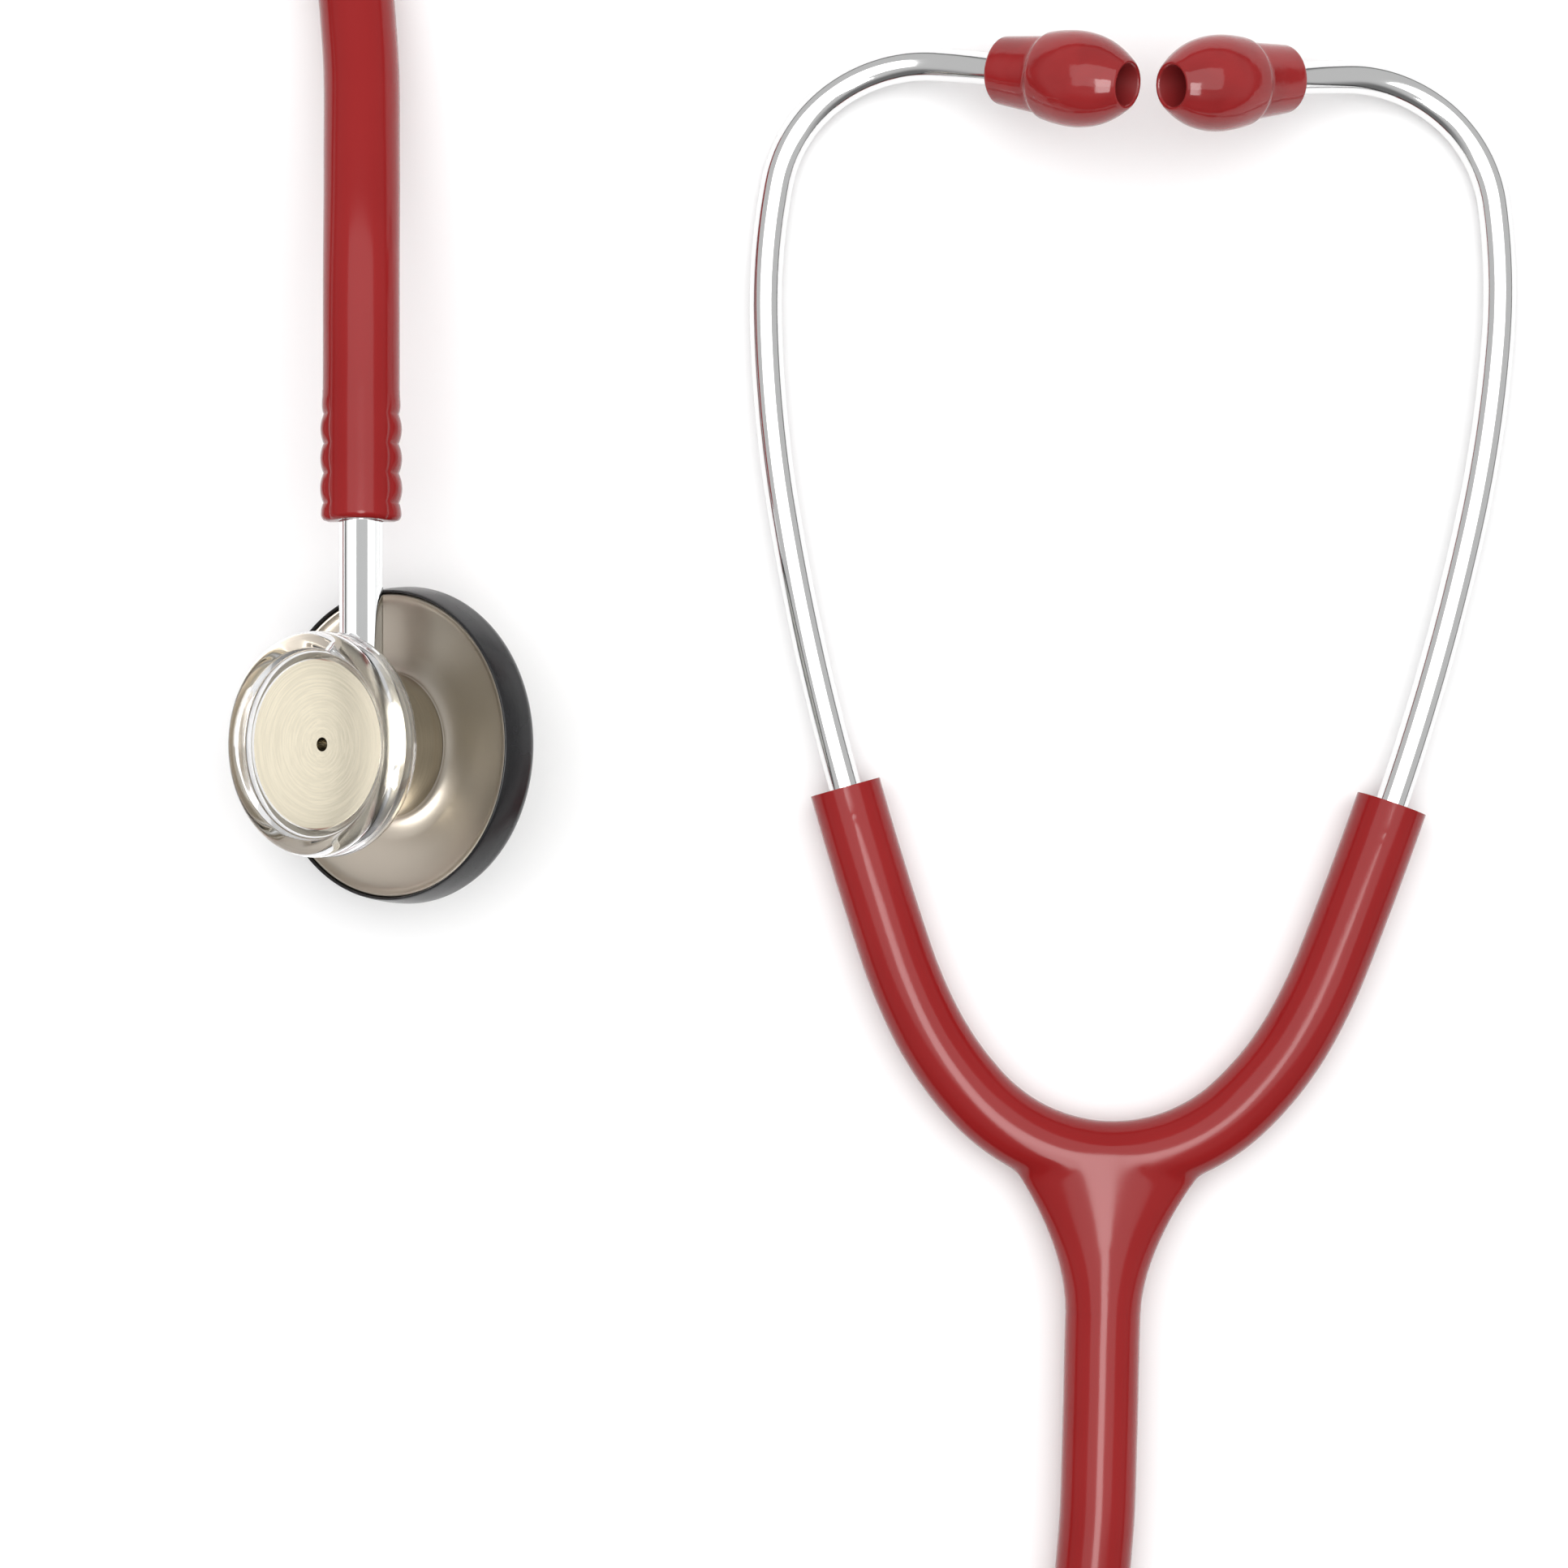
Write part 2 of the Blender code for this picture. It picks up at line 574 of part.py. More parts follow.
def make_detent(finishes, swivel):
    """The ball that clicks into the stem's dimples, its coil spring, and the screw behind them."""
    ball = sphere_mesh(BALL_RADIUS, (-BALL_CENTER, DETENT_ALONG, 0))
    add_object("detent_ball", ball, finishes["spring"], swivel)

    screw_inner = SCREW_OUTER - SCREW_LENGTH
    coil_start = BALL_CENTER + BALL_RADIUS + SEAT + COIL_WIRE
    coil_end = screw_inner - SEAT - COIL_WIRE
    steps_per_turn = 8
    steps = int(steps_per_turn * (coil_end - coil_start) / COIL_PITCH)
    coil = []
    for step in range(steps + 1):
        angle = 2 * math.pi * step / steps_per_turn
        along = coil_start + (coil_end - coil_start) * step / steps
        across = (COIL_RADIUS * math.cos(angle), COIL_RADIUS * math.sin(angle))
        coil.append(Vector((-along, DETENT_ALONG + across[0], across[1])))
    add_object("detent_spring", swept_mesh(coil, COIL_WIRE, 0), finishes["spring"], swivel)

    screw_radius = DETENT_BORE - SEAT
    start = Vector((-screw_inner, DETENT_ALONG, 0))
    end = Vector((-SCREW_OUTER, DETENT_ALONG, 0))
    screw_mesh = swept_mesh((start, end), screw_radius, 3)
    screw = add_object("detent_screw", screw_mesh, finishes["steel"], swivel)
    outwards = (end - start).normalized()
    socket_bottom = start.lerp(end, 0.5)
    cut(screw, rod_tool(socket_bottom, end + outwards * SEAT, 0.5 * screw_radius, swivel, 1))


def sphere_mesh(radius, center):
    bm = bmesh.new()
    bmesh.ops.create_icosphere(bm, subdivisions=2, radius=radius)
    mesh = bpy.data.meshes.new("ball")
    bm.to_mesh(mesh)
    bm.free()
    mesh.transform(Matrix.Translation(center))
    return mesh


def stem_profile():
    """The stem's outline: closed inner end, seal and clip grooves, bright length, barbed tube end."""
    radius = STEM_RADIUS
    seal_middle = HUB_RADIUS - SEAL_INSET
    seal_groove = (seal_middle - SEAL_RADIUS - SEAT, seal_middle + SEAL_RADIUS + SEAT)
    barb_start = STEM_GRIP_START + BARB_PITCH
    chamfer = SEAT
    clip_floor = CLIP_RADIUS - CLIP_WIRE - SEAT
    clip_groove = (CLIP_ALONG - CLIP_WIRE - SEAT, CLIP_ALONG + CLIP_WIRE + SEAT)
    outline = [(0, STEM_INNER_END), (radius - chamfer, STEM_INNER_END), (radius, STEM_INNER_END + chamfer)]
    outline += [(radius, clip_groove[0]), (clip_floor, clip_groove[0])]
    outline += [(clip_floor, clip_groove[1]), (radius, clip_groove[1])]
    outline += [(radius, seal_groove[0]), (radius - SEAL_GROOVE, seal_groove[0])]
    outline += [(radius - SEAL_GROOVE, seal_groove[1]), (radius, seal_groove[1])]
    for barb in range(BARBS):
        foot = barb_start + barb * BARB_PITCH
        outline += [(radius, foot), (radius - BARB_DEPTH, foot + chamfer)]
    end = barb_start + BARBS * BARB_PITCH - chamfer
    outline += [(radius - BARB_DEPTH / 4, end - 2 * BARB_DEPTH), (radius - 2 * BARB_DEPTH, end)]
    outline += [(STEM_BORE, end), (STEM_BORE, -PORT_RADIUS), (0, -PORT_RADIUS)]
    return outline


def make_stem(finishes, stem_base, swivel):
    """The stem stays with the tube. Its side port faces the diaphragm, and dimples take the ball."""
    stem = add_object("stem", turned_mesh(stem_profile(), 24), finishes["chrome"], stem_base)
    stem.data.transform(ALONG_STEM)
    cut(stem, rod_tool(Vector((0, 0, 0)), Vector((0, 0, -2 * STEM_RADIUS)), PORT_RADIUS, swivel, 2))
    for side in (-1, 1):
        dimple = sphere_mesh(BALL_RADIUS + 2 * SEAT, (side * BALL_CENTER, DETENT_ALONG, 0))
        cut(stem, hidden_tool(dimple, swivel))

    ring_center = (STEM_RADIUS + RUNNING / 2 - SEAL_RADIUS, HUB_RADIUS - SEAL_INSET)
    ring = arc(ring_center, (SEAL_RADIUS, SEAL_RADIUS), 0, 315, 7)
    seal = add_object("stem_seal", turned_mesh(ring, 20), finishes["black"], stem_base)
    seal.data.transform(ALONG_STEM)
    make_stem_clip(finishes, stem_base)


def make_stem_clip(finishes, stem_base):
    """An open wire ring, seated half in the stem and half in the hub."""
    points = arc((0, 0), (CLIP_RADIUS, CLIP_RADIUS), 30, 330, 14)
    wire = [Vector((x, CLIP_ALONG, z)) for x, z in points]
    add_object("stem_clip", swept_mesh(wire, CLIP_WIRE, 0), finishes["spring"], stem_base)


def make_tube_grip(finishes, stem_base):
    """The tube's moulded end, stretched over the stem's barbs, with soft ridges down its sides."""
    bore = STEM_RADIUS + SEAT
    steps = 18
    outer = []
    for step in range(steps + 1):
        along = step / steps
        fade = math.sqrt(math.sin(math.pi * (1 - along)))
        ridge = GRIP_RIDGE * fade * math.cos(2 * math.pi * GRIP_RIDGES * along)
        outer.append((TUBE_RADIUS + ridge, STEM_GRIP_START + GRIP_LENGTH * along))
    profile = [(bore, STEM_GRIP_START), *outer, (bore, GRIP_END)]
    grip = add_object("tube_grip_end", turned_mesh(profile, 24), finishes["red"], stem_base)
    grip.data.transform(ALONG_STEM)
    return grip


# ---------------------------------------------------------------- free tube

def tube_course():
    """The course's own points in metres, measured from the grip end on the stem's axis."""
    points = []
    for x, y, share in TUBE_COURSE:
        height = TUBE_RADIUS + (STEM_HEIGHT - TUBE_RADIUS) * share
        points.append(Vector((x * MM, GRIP_END + y * MM, height)))
    return points


def smooth_points(points, count):
    """Points evenly spaced along a smooth curve through the course's own points."""
    padded = [2 * points[0] - points[1], *points, 2 * points[-1] - points[-2]]
    fine = []
    steps = 12
    for before, start, end, after in zip(padded, padded[1:], padded[2:], padded[3:]):
        for step in range(steps):
            t = step / steps
            fine.append(0.5 * (
                2 * start + (end - before) * t
                + (2 * before - 5 * start + 4 * end - after) * t ** 2
                + (3 * start - before - 3 * end + after) * t ** 3
            ))
    fine.append(points[-1])
    line = [(0.0, fine[0])]
    for start, end in zip(fine, fine[1:]):
        line.append((line[-1][0] + (end - start).length, end))
    first = (points[1] - points[0]).length
    last = line[-1][0] - (points[-1] - points[-2]).length
    middle = stretch(line, first, last, (last - first) / count)
    return [points[0], *middle, points[-1]]


def make_free_tube(finishes, base):
    curve = bpy.data.curves.new("free_tube", "CURVE")
    curve.dimensions = "3D"
    curve.bevel_depth = TUBE_RADIUS
    curve.bevel_resolution = 3
    curve.use_fill_caps = True
    spline = curve.splines.new("POLY")
    points = smooth_points(tube_course(), TUBE_POINTS)
    spline.points.add(len(points) - 1)
    for target, point in zip(spline.points, points):
        target.co = (*point, 1)
    curve.materials.append(finishes["red"])
    tube = bpy.data.objects.new("free_tube", curve)
    tube.parent = base
    bpy.context.scene.collection.objects.link(tube)
    return tube


# ---------------------------------------------------------------- assembly

def centre_on_origin(base, left_out):
    """Moves the assembly so that the origin is under the middle of all pieces but those left out."""
    bpy.context.view_layer.update()
    graph = bpy.context.evaluated_depsgraph_get()
    corners = []
    for obj in bpy.context.scene.objects:
        if obj.type != "MESH" or obj in left_out:
            continue
        evaluated = obj.evaluated_get(graph)
        corners += [evaluated.matrix_world @ vertex.co for vertex in evaluated.data.vertices]
    lows = [min(corner[axis] for corner in corners) for axis in range(3)]
    highs = [max(corner[axis] for corner in corners) for axis in range(3)]
    base.location.x -= (lows[0] + highs[0]) / 2
    base.location.y -= (lows[1] + highs[1]) / 2
    base.location.z -= lows[2]


def main():
    for obj in list(bpy.data.objects):
        bpy.data.objects.remove(obj)
    finishes = make_finishes()
    base = add_empty("stethoscope", (0, 0, 0))
    stem_base = add_empty("stem_axis", (0, 0, STEM_HEIGHT), base)
    swivel = add_empty("chestpiece_swivel", (0, 0, 0), stem_base, (0, -TILT, 0))
    yoke_place = tube_course()[-1]
    yoke_place.z = 0
    headset = add_empty("headset", yoke_place + Vector((0, SEAT, 0)), base, (0, 0, TRUNK_TILT))
    bpy.context.view_layer.update()
    make_chestpiece(finishes, swivel)
    make_stem(finishes, stem_base, swivel)
    make_tube_grip(finishes, stem_base)
    free_tube = make_free_tube(finishes, base)
    make_headset(finishes, headset)
    centre_on_origin(base, [free_tube])


main()
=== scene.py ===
"""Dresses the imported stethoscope: fine meshes and procedural finishes for every visible piece.

Metres, +Z up, the table at z = 0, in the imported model's own frame. The chestpiece lies at the left on
its rim, its stem and tube pointing along +Y, and the headset lies at the right with its ear tips at +Y.
"""

import json
import math

import bmesh
import bpy
from bpy.props import FloatProperty, FloatVectorProperty, IntProperty, PointerProperty
from mathutils import Matrix, Vector

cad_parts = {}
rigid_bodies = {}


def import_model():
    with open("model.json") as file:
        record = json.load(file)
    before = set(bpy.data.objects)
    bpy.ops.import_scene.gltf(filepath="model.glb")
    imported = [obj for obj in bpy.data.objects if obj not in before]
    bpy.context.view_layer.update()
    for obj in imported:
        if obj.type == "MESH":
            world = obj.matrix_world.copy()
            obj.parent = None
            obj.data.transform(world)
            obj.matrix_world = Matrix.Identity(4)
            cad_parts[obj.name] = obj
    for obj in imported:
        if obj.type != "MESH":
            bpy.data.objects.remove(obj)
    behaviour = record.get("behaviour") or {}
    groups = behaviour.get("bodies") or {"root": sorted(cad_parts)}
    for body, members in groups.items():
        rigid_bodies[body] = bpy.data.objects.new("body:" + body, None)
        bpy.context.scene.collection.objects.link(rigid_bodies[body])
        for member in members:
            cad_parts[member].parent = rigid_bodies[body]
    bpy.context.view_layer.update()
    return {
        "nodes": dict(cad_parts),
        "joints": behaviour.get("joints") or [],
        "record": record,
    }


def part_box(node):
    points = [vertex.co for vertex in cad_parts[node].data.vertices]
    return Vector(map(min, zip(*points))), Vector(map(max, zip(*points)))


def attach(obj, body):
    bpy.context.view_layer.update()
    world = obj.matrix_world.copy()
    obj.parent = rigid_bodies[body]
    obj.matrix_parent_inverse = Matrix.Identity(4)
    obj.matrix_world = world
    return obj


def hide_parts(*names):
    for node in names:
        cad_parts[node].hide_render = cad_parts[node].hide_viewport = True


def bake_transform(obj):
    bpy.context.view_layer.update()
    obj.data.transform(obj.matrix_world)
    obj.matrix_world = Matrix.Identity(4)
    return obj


for startup_object in list(bpy.data.objects):
    bpy.data.objects.remove(startup_object)
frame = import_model()

bl_info = {
    "name": "Stethoscope dressing",
    "version": (1, 0, 0),
    "blender": (4, 5, 0),
    "location": "3D View > Sidebar > Stethoscope",
    "description": "Builds the fine pieces and finishes of a stethoscope on its packed frame",
    "category": "Add Mesh",
}

MM = 0.001
WELD = 0.001 * MM
SIDES = ((-1, "left"), (1, "right"))


# -------------------- places taken from the frame

def joint(name):
    return next(item for item in frame["joints"] if item["name"] == name)


def tilt_of_chestpiece():
    """The lean of the chestpiece's axis from upright, from the diaphragm's outward normal."""
    face = next(mount for mount in frame["record"]["mounts"] if mount["name"] == "diaphragm_face")
    return math.atan2(face["axis"][0], -face["axis"][2])


SWIVEL = Vector(joint("chestpiece_swivel")["pos_m"])
LEFT_HINGE = Vector(joint("left_binaural_spread")["pos_m"])
RIGHT_HINGE = Vector(joint("right_binaural_spread")["pos_m"])
TILT = tilt_of_chestpiece()
GRIP_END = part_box("tube_grip_end")[1].y
GRIP_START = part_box("tube_grip_end")[0].y
STEM_RADIUS = (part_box("stem")[1].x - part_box("stem")[0].x) / 2
HEADSET_TURN = math.atan2(RIGHT_HINGE.y - LEFT_HINGE.y, RIGHT_HINGE.x - LEFT_HINGE.x)
HEAD = Matrix.Translation(SWIVEL) @ Matrix.Rotation(-TILT, 4, "Y")
STEM = Matrix.Translation(SWIVEL) @ Matrix.Rotation(math.radians(-90), 4, "X")

# Each bend of the headset is (length in mm, turn in the table's plane, turn upwards), in degrees.
# Both halves start at the middle of the yoke, heading straight outwards.
ARM_BENDS = ((21.2, -45, 0), (14.4, -17, -0.3), (10.8, -8, -0.3), (25, -2.5, 0))
EAR_TUBE_BENDS = (
    (42, -6.5, -1.4), (28, -8, 0), (20, -12, 0), (16, -44, 6.5), (16, -42, 18.3), (11, -6, 12.2),
)
EAR_TUBE_BORE = 1.7 * MM
HINGE_ALONG = 28 * MM
ARM_LENGTH = sum(bend[0] for bend in ARM_BENDS) * MM
EAR_TUBE_LENGTH = sum(bend[0] for bend in EAR_TUBE_BENDS) * MM
TIP_START = ARM_LENGTH + EAR_TUBE_LENGTH

# The free tube's course from its grip end to the yoke: x and y in mm from the grip end, and the
# share of the stem's height that it still keeps above lying on the table
TUBE_COURSE = (
    (0, 0.3, 1), (0, 5, 0.988), (-0.1, 18, 0.92), (-0.4, 34, 0.68), (-1.2, 52, 0.34), (-4, 69, 0.1),
    (-13, 84, 0), (-28, 94.5, 0), (-46, 98.5, 0), (-64, 94.5, 0), (-79, 83, 0),
    (-87.5, 67, 0), (-89, 48, 0), (-86.5, 18, 0), (-82.5, -16, 0), (-79, -50, 0),
    (-76, -85, 0), (-75, -117, 0), (-75, -145, 0), (-71, -168, 0), (-59.5, -187.5, 0),
    (-40, -200.5, 0), (-14, -208, 0), (18, -213.5, 0), (47, -216, 0), (70, -213.5, 0),
    (87, -206, 0), (98, -194, 0), (104, -180.5, 0), (106, -166, 0), (106.6, -152, 0),
    (106.95, -137.8, 0), (107.1, -132.8, 0),
)


# -------------------- settings

def length_setting(name, description, default):
    return FloatProperty(
        name=name, description=description, default=default, min=0, unit="LENGTH", precision=5
    )


def colour_setting(name, description, default):
    return FloatVectorProperty(
        name=name, description=description, default=default, size=3, min=0, max=1, subtype="COLOR"
    )


class TubingSettings(bpy.types.PropertyGroup):
    radius: length_setting("Tube radius", "Outer radius of the tube", 5.5 * MM)
    arm_radius: length_setting("Arm radius", "Outer radius of the yoke's arms", 5.15 * MM)
    ridge: length_setting("Grip ridge", "Height of the ridges on the grip end's sides", 0.33 * MM)
    colour: colour_setting("Rubber", "Colour of the rubber", (0.268, 0.0125, 0.0130))
    deep_colour: colour_setting("Deep rubber", "The rubber's darker clouding", (0.246, 0.0095, 0.0100))


class ChestpieceSettings(bpy.types.PropertyGroup):
    sides: IntProperty(
        name="Sides", description="Steps round each turned piece", default=192, min=24, max=512
    )
    steel: colour_setting("Steel", "Colour of the brushed steel", (0.56, 0.515, 0.42))
    face: colour_setting("Bell face", "Colour of the bell's metal face", (0.79, 0.725, 0.575))
    # Painted light: the face colour is paler than the steel, standing in for the brighter light the bell's
    # face catches.
    chrome: colour_setting("Chrome", "Colour of the chromed stem and ear tubes", (0.86, 0.87, 0.87))
    rim: colour_setting("Rim", "Colour of the black rim", (0.010, 0.010, 0.011))
    grain: length_setting("Grain", "Spacing of the steel's brushed lines", 0.3 * MM)


class HeadsetSettings(bpy.types.PropertyGroup):
    tube_radius: length_setting("Ear tube radius", "Outer radius of an ear tube", 2.4 * MM)
    tip_radius: length_setting("Tip radius", "Radius of an ear tip's bulb", 6.9 * MM)
    tip_length: length_setting("Tip length", "Length of an ear tip", 21.8 * MM)
    tip_colour: colour_setting("Ear tip", "Colour of the soft ear tips", (0.285, 0.0185, 0.0195))


class StageSettings(bpy.types.PropertyGroup):
    camera_height: length_setting("Camera height", "Camera's height above the table", 0.7)
    half_view: FloatProperty(
        name="Half view", description="Half of the camera's field of view", default=math.radians(9.386),
        subtype="ANGLE",
    )
    floor: colour_setting("Floor", "Colour of the table", (0.93, 0.93, 0.93))
    sky: FloatProperty(name="Sky", description="Strength of the surrounding light", default=0.6)
    overhead: FloatProperty(name="Overhead", description="Radiance of the overhead panel", default=1.8)
    front_shade: FloatProperty(
        name="Front shade", description="How much darker the room is towards the front", default=0.72,
        subtype="FACTOR",
    )


SETTINGS = {
    "steth_tubing": TubingSettings,
    "steth_chestpiece": ChestpieceSettings,
    "steth_headset": HeadsetSettings,
    "steth_stage": StageSettings,
}


# -------------------- shader building

class Varying:
    """A number that changes over a surface. Python's operators on it add Math nodes."""

    def __init__(self, tree, socket):
        self.tree = tree
        self.socket = socket

    def math(self, operation, *operands):
        node = self.tree.nodes.new("ShaderNodeMath")
        node.operation = operation
        for target, value in zip(node.inputs, operands):
            feed(self.tree, target, value)
        return Varying(self.tree, node.outputs[0])

    def __add__(self, other):
        return self.math("ADD", self, other)

    def __radd__(self, other):
        return self.math("ADD", other, self)

    def __sub__(self, other):
        return self.math("SUBTRACT", self, other)

    def __rsub__(self, other):
        return self.math("SUBTRACT", other, self)

    def __mul__(self, other):
        return self.math("MULTIPLY", self, other)

    def __rmul__(self, other):
        return self.math("MULTIPLY", other, self)

    def __truediv__(self, other):
        return self.math("DIVIDE", self, other)

    def __rtruediv__(self, other):
        return self.math("DIVIDE", other, self)

    def __pow__(self, other):
        return self.math("POWER", self, other)


def feed(tree, target, value):
    if isinstance(value, Varying):
        tree.links.new(value.socket, target)
    else:
        target.default_value = value


SOCKETS = {
    "roughness": "Roughness",
    "metallic": "Metallic",
    "specular": "Specular IOR Level",
    "transmission": "Transmission Weight",
}


class Graph:
    """Adds nodes to one node tree."""

    def __init__(self, tree):
        self.tree = tree

    def node(self, kind, settings=None, values=None, output=0):
        node = self.tree.nodes.new(kind)
        for key, value in (settings or {}).items():
            setattr(node, key, value)
        for key, value in (values or {}).items():
            feed(self.tree, node.inputs[key], value)
        return Varying(self.tree, node.outputs[output])

    def parts_of(self, vector):
        node = self.tree.nodes.new("ShaderNodeSeparateXYZ")
        feed(self.tree, node.inputs[0], vector)
        return [Varying(self.tree, output) for output in node.outputs]

    def joined(self, x, y, z):
        return self.node("ShaderNodeCombineXYZ", values={"X": x, "Y": y, "Z": z})

    def noise(self, place, scale, detail=2.0, roughness=0.5):
        values = {"Vector": place, "Scale": scale, "Detail": detail, "Roughness": roughness}
        return self.node("ShaderNodeTexNoise", values=values, output="Fac")

    def fitted(self, value, low, high, new_low, new_high):
        """Maps low..high onto new_low..new_high, held at both ends."""
        values = {
            "Value": value, "From Min": low, "From Max": high, "To Min": new_low, "To Max": new_high,
        }
        return self.node("ShaderNodeMapRange", {"interpolation_type": "SMOOTHSTEP"}, values)

    def mixed(self, factor, first, second):
        node = self.tree.nodes.new("ShaderNodeMix")
        node.data_type = "RGBA"
        feed(self.tree, node.inputs["Factor"], factor)
        for socket, colour in (("A", first), ("B", second)):
            target = next(item for item in node.inputs if item.name == socket and item.type == "RGBA")
            feed(self.tree, target, colour if isinstance(colour, Varying) else (*colour, 1))
        result = next(item for item in node.outputs if item.type == "RGBA")
        return Varying(self.tree, result)


class Finish(Graph):
    """One procedural material. What is the same all over goes straight on the shader's sockets."""

    def __init__(self, name, colour, **constants):
        self.material = bpy.data.materials.new(name)
        self.material.use_nodes = True
        super().__init__(self.material.node_tree)
        self.shader = self.tree.nodes["Principled BSDF"]
        self.shader.inputs["Base Color"].default_value = (*colour, 1)
        for socket, value in constants.items():
            self.shader.inputs[SOCKETS[socket]].default_value = value

    def place(self):
        return self.node("ShaderNodeTexCoord", output="Object")

    def head_place(self):
        """Object coordinates counted from the chestpiece's own centre and along its own axis."""
        values = {"Vector": self.place(), "Location": SWIVEL, "Rotation": (0, -TILT, 0)}
        return self.node("ShaderNodeMapping", {"vector_type": "TEXTURE"}, values)

    def colour(self, value):
        feed(self.tree, self.shader.inputs["Base Color"], value)

    def roughness(self, value):
        feed(self.tree, self.shader.inputs["Roughness"], value)

    def relief(self, height, distance, strength=1.0):
        values = {"Height": height, "Distance": distance, "Strength": strength}
        normal = self.node("ShaderNodeBump", values=values, output="Normal")
        feed(self.tree, self.shader.inputs["Normal"], normal)


def shade(colour, factor):
    return tuple(min(1.0, channel * factor) for channel in colour)


# -------------------- finishes

def rubber_finish():
    """Moulded tubing: faint clouding in the red, and a soft waviness that bends its highlights."""
    settings = bpy.context.scene.steth_tubing
    finish = Finish("red_rubber", settings.colour, specular=0.25)
    place = finish.place()
    clouds = finish.fitted(finish.noise(place, 38, 2), 0.35, 0.68, 0, 1)
    finish.colour(finish.mixed(clouds, settings.colour, settings.deep_colour))
    finish.roughness(0.11 + 0.05 * finish.noise(place, 90, 2) + 0.03 * finish.noise(place, 700, 3))
    ripple = finish.noise(place, 120, 1) + 0.03 * finish.noise(place, 2600, 2)
    finish.relief(ripple, 0.00010, 0.35)
    return finish.material


def tip_finish():
    """Soft glossy plastic with a cloudy body."""
    settings = bpy.context.scene.steth_headset
    finish = Finish("red_soft_plastic", settings.tip_colour, specular=0.35)
    place = finish.place()
    clouds = finish.fitted(finish.noise(place, 130, 2), 0.35, 0.7, 0, 1)
    finish.colour(finish.mixed(clouds, settings.tip_colour, shade(settings.tip_colour, 0.82)))
    finish.roughness(0.07 + 0.06 * finish.noise(place, 240, 3))
    finish.relief(finish.noise(place, 700, 2), 0.00006, 0.4)
    return finish.material


def mouth_shade_finish():
    # Painted shade: the tip's red darkened on the faces inside the mouth, a recess where shade falls, with
    # patches darker still.
    settings = bpy.context.scene.steth_headset
    mouth_painted_shade = shade(settings.tip_colour, 0.8)
    finish = Finish("tip_mouth_painted_shade", mouth_painted_shade, roughness=0.45, specular=0.3)
    place = finish.place()
    finish.colour(finish.mixed(finish.noise(place, 300, 2), mouth_painted_shade, shade(mouth_painted_shade, 0.8)))
    finish.roughness(0.4 + 0.1 * finish.noise(place, 500, 2))
    return finish.material


def chrome_finish():
    """Polished plating with the faintest smears and drawn lines."""
    settings = bpy.context.scene.steth_chestpiece
    finish = Finish("chrome", settings.chrome, metallic=1.0)
    place = finish.place()
    smears = finish.fitted(finish.noise(place, 70, 3, 0.6), 0.45, 0.75, 0, 1)
    finish.roughness(0.035 + 0.035 * smears)
    finish.colour(finish.mixed(smears, settings.chrome, shade(settings.chrome, 0.97)))
    finish.relief(finish.noise(place, 900, 2), 0.00001, 0.3)
    return finish.material


def brushed_finish():
    """Steel turned and brushed in rings round the chestpiece's axis, palest on the bell's face, whose paler
    steel is painted light for the brighter light it catches.
    """
    settings = bpy.context.scene.steth_chestpiece
    finish = Finish("brushed_steel", settings.steel, metallic=1.0)
    x, y, z = finish.parts_of(finish.head_place())
    radius = (x * x + y * y) ** 0.5 + 0.00001
    across = (radius + 1.3 * z) / settings.grain
    fine = finish.noise(finish.joined(1.6 * x / radius, 1.6 * y / radius, across), 1.0, 4, 0.62)
    broad = finish.noise(finish.joined(0.9 * x / radius, 0.9 * y / radius, 0.15 * across), 1.0, 3, 0.55)
    bright = finish.fitted(fine, 0.36, 0.66, 0, 1)
    # Painted light: from just above the cup seat the steel turns into the paler face colour, standing in for
    # the brighter light on the bell's face.
    face_painted_light_mask = finish.fitted(z, CUP_SEAT + 0.3 * MM, CUP_SEAT + 0.6 * MM, 0, 1)
    body = finish.mixed(bright, shade(settings.steel, 0.92), shade(settings.steel, 1.05))
    face = finish.mixed(bright, shade(settings.face, 0.94), shade(settings.face, 1.04))
    warm = (settings.steel[0] * 1.04, settings.steel[1] * 0.97, settings.steel[2] * 0.88)
    clouded = finish.mixed(finish.fitted(broad, 0.45, 0.72, 0, 0.4), body, warm)
    finish.colour(finish.mixed(face_painted_light_mask, clouded, face))
    finish.roughness(0.15 + 0.09 * fine + 0.06 * broad)
    finish.relief(fine, 0.00001, 0.4)
    return finish.material


def rim_finish():
    settings = bpy.context.scene.steth_chestpiece
    finish = Finish("black_rubber", settings.rim, specular=0.4)
    place = finish.place()
    haze = finish.fitted(finish.noise(place, 120, 3), 0.4, 0.75, 0, 1)
    finish.colour(finish.mixed(haze, settings.rim, shade(settings.rim, 1.5)))
    finish.roughness(0.24 + 0.1 * haze)
    finish.relief(finish.noise(place, 3200, 2), 0.00003, 0.4)
    return finish.material


def clear_finish():
    """Clear moulded ring, a little smeared."""
    finish = Finish(
        "clear_plastic", (0.97, 0.972, 0.975), transmission=1.0, roughness=0.02,
    )
    finish.shader.inputs["IOR"].default_value = 1.42
    place = finish.place()
    smears = finish.fitted(finish.noise(place, 160, 3), 0.5, 0.8, 0, 1)
    finish.roughness(0.02 + 0.04 * smears)
    return finish.material


def diaphragm_finish():
    """Thin resin sheet with glass cloth just showing through."""
    pale = (0.62, 0.63, 0.6)
    finish = Finish("diaphragm_resin", pale, roughness=0.3, specular=0.5)
    x, y, _ = finish.parts_of(finish.head_place())
    threads = 2 * math.pi / 0.0007
    weave = (x * threads).math("SINE", x * threads) * (y * threads).math("SINE", y * threads)
    cloth = finish.fitted(weave, -0.8, 0.8, 0, 1)
    finish.colour(finish.mixed(cloth, pale, shade(pale, 0.86)))
    finish.roughness(0.26 + 0.1 * cloth)
    finish.relief(cloth, 0.00002, 0.4)
    return finish.material


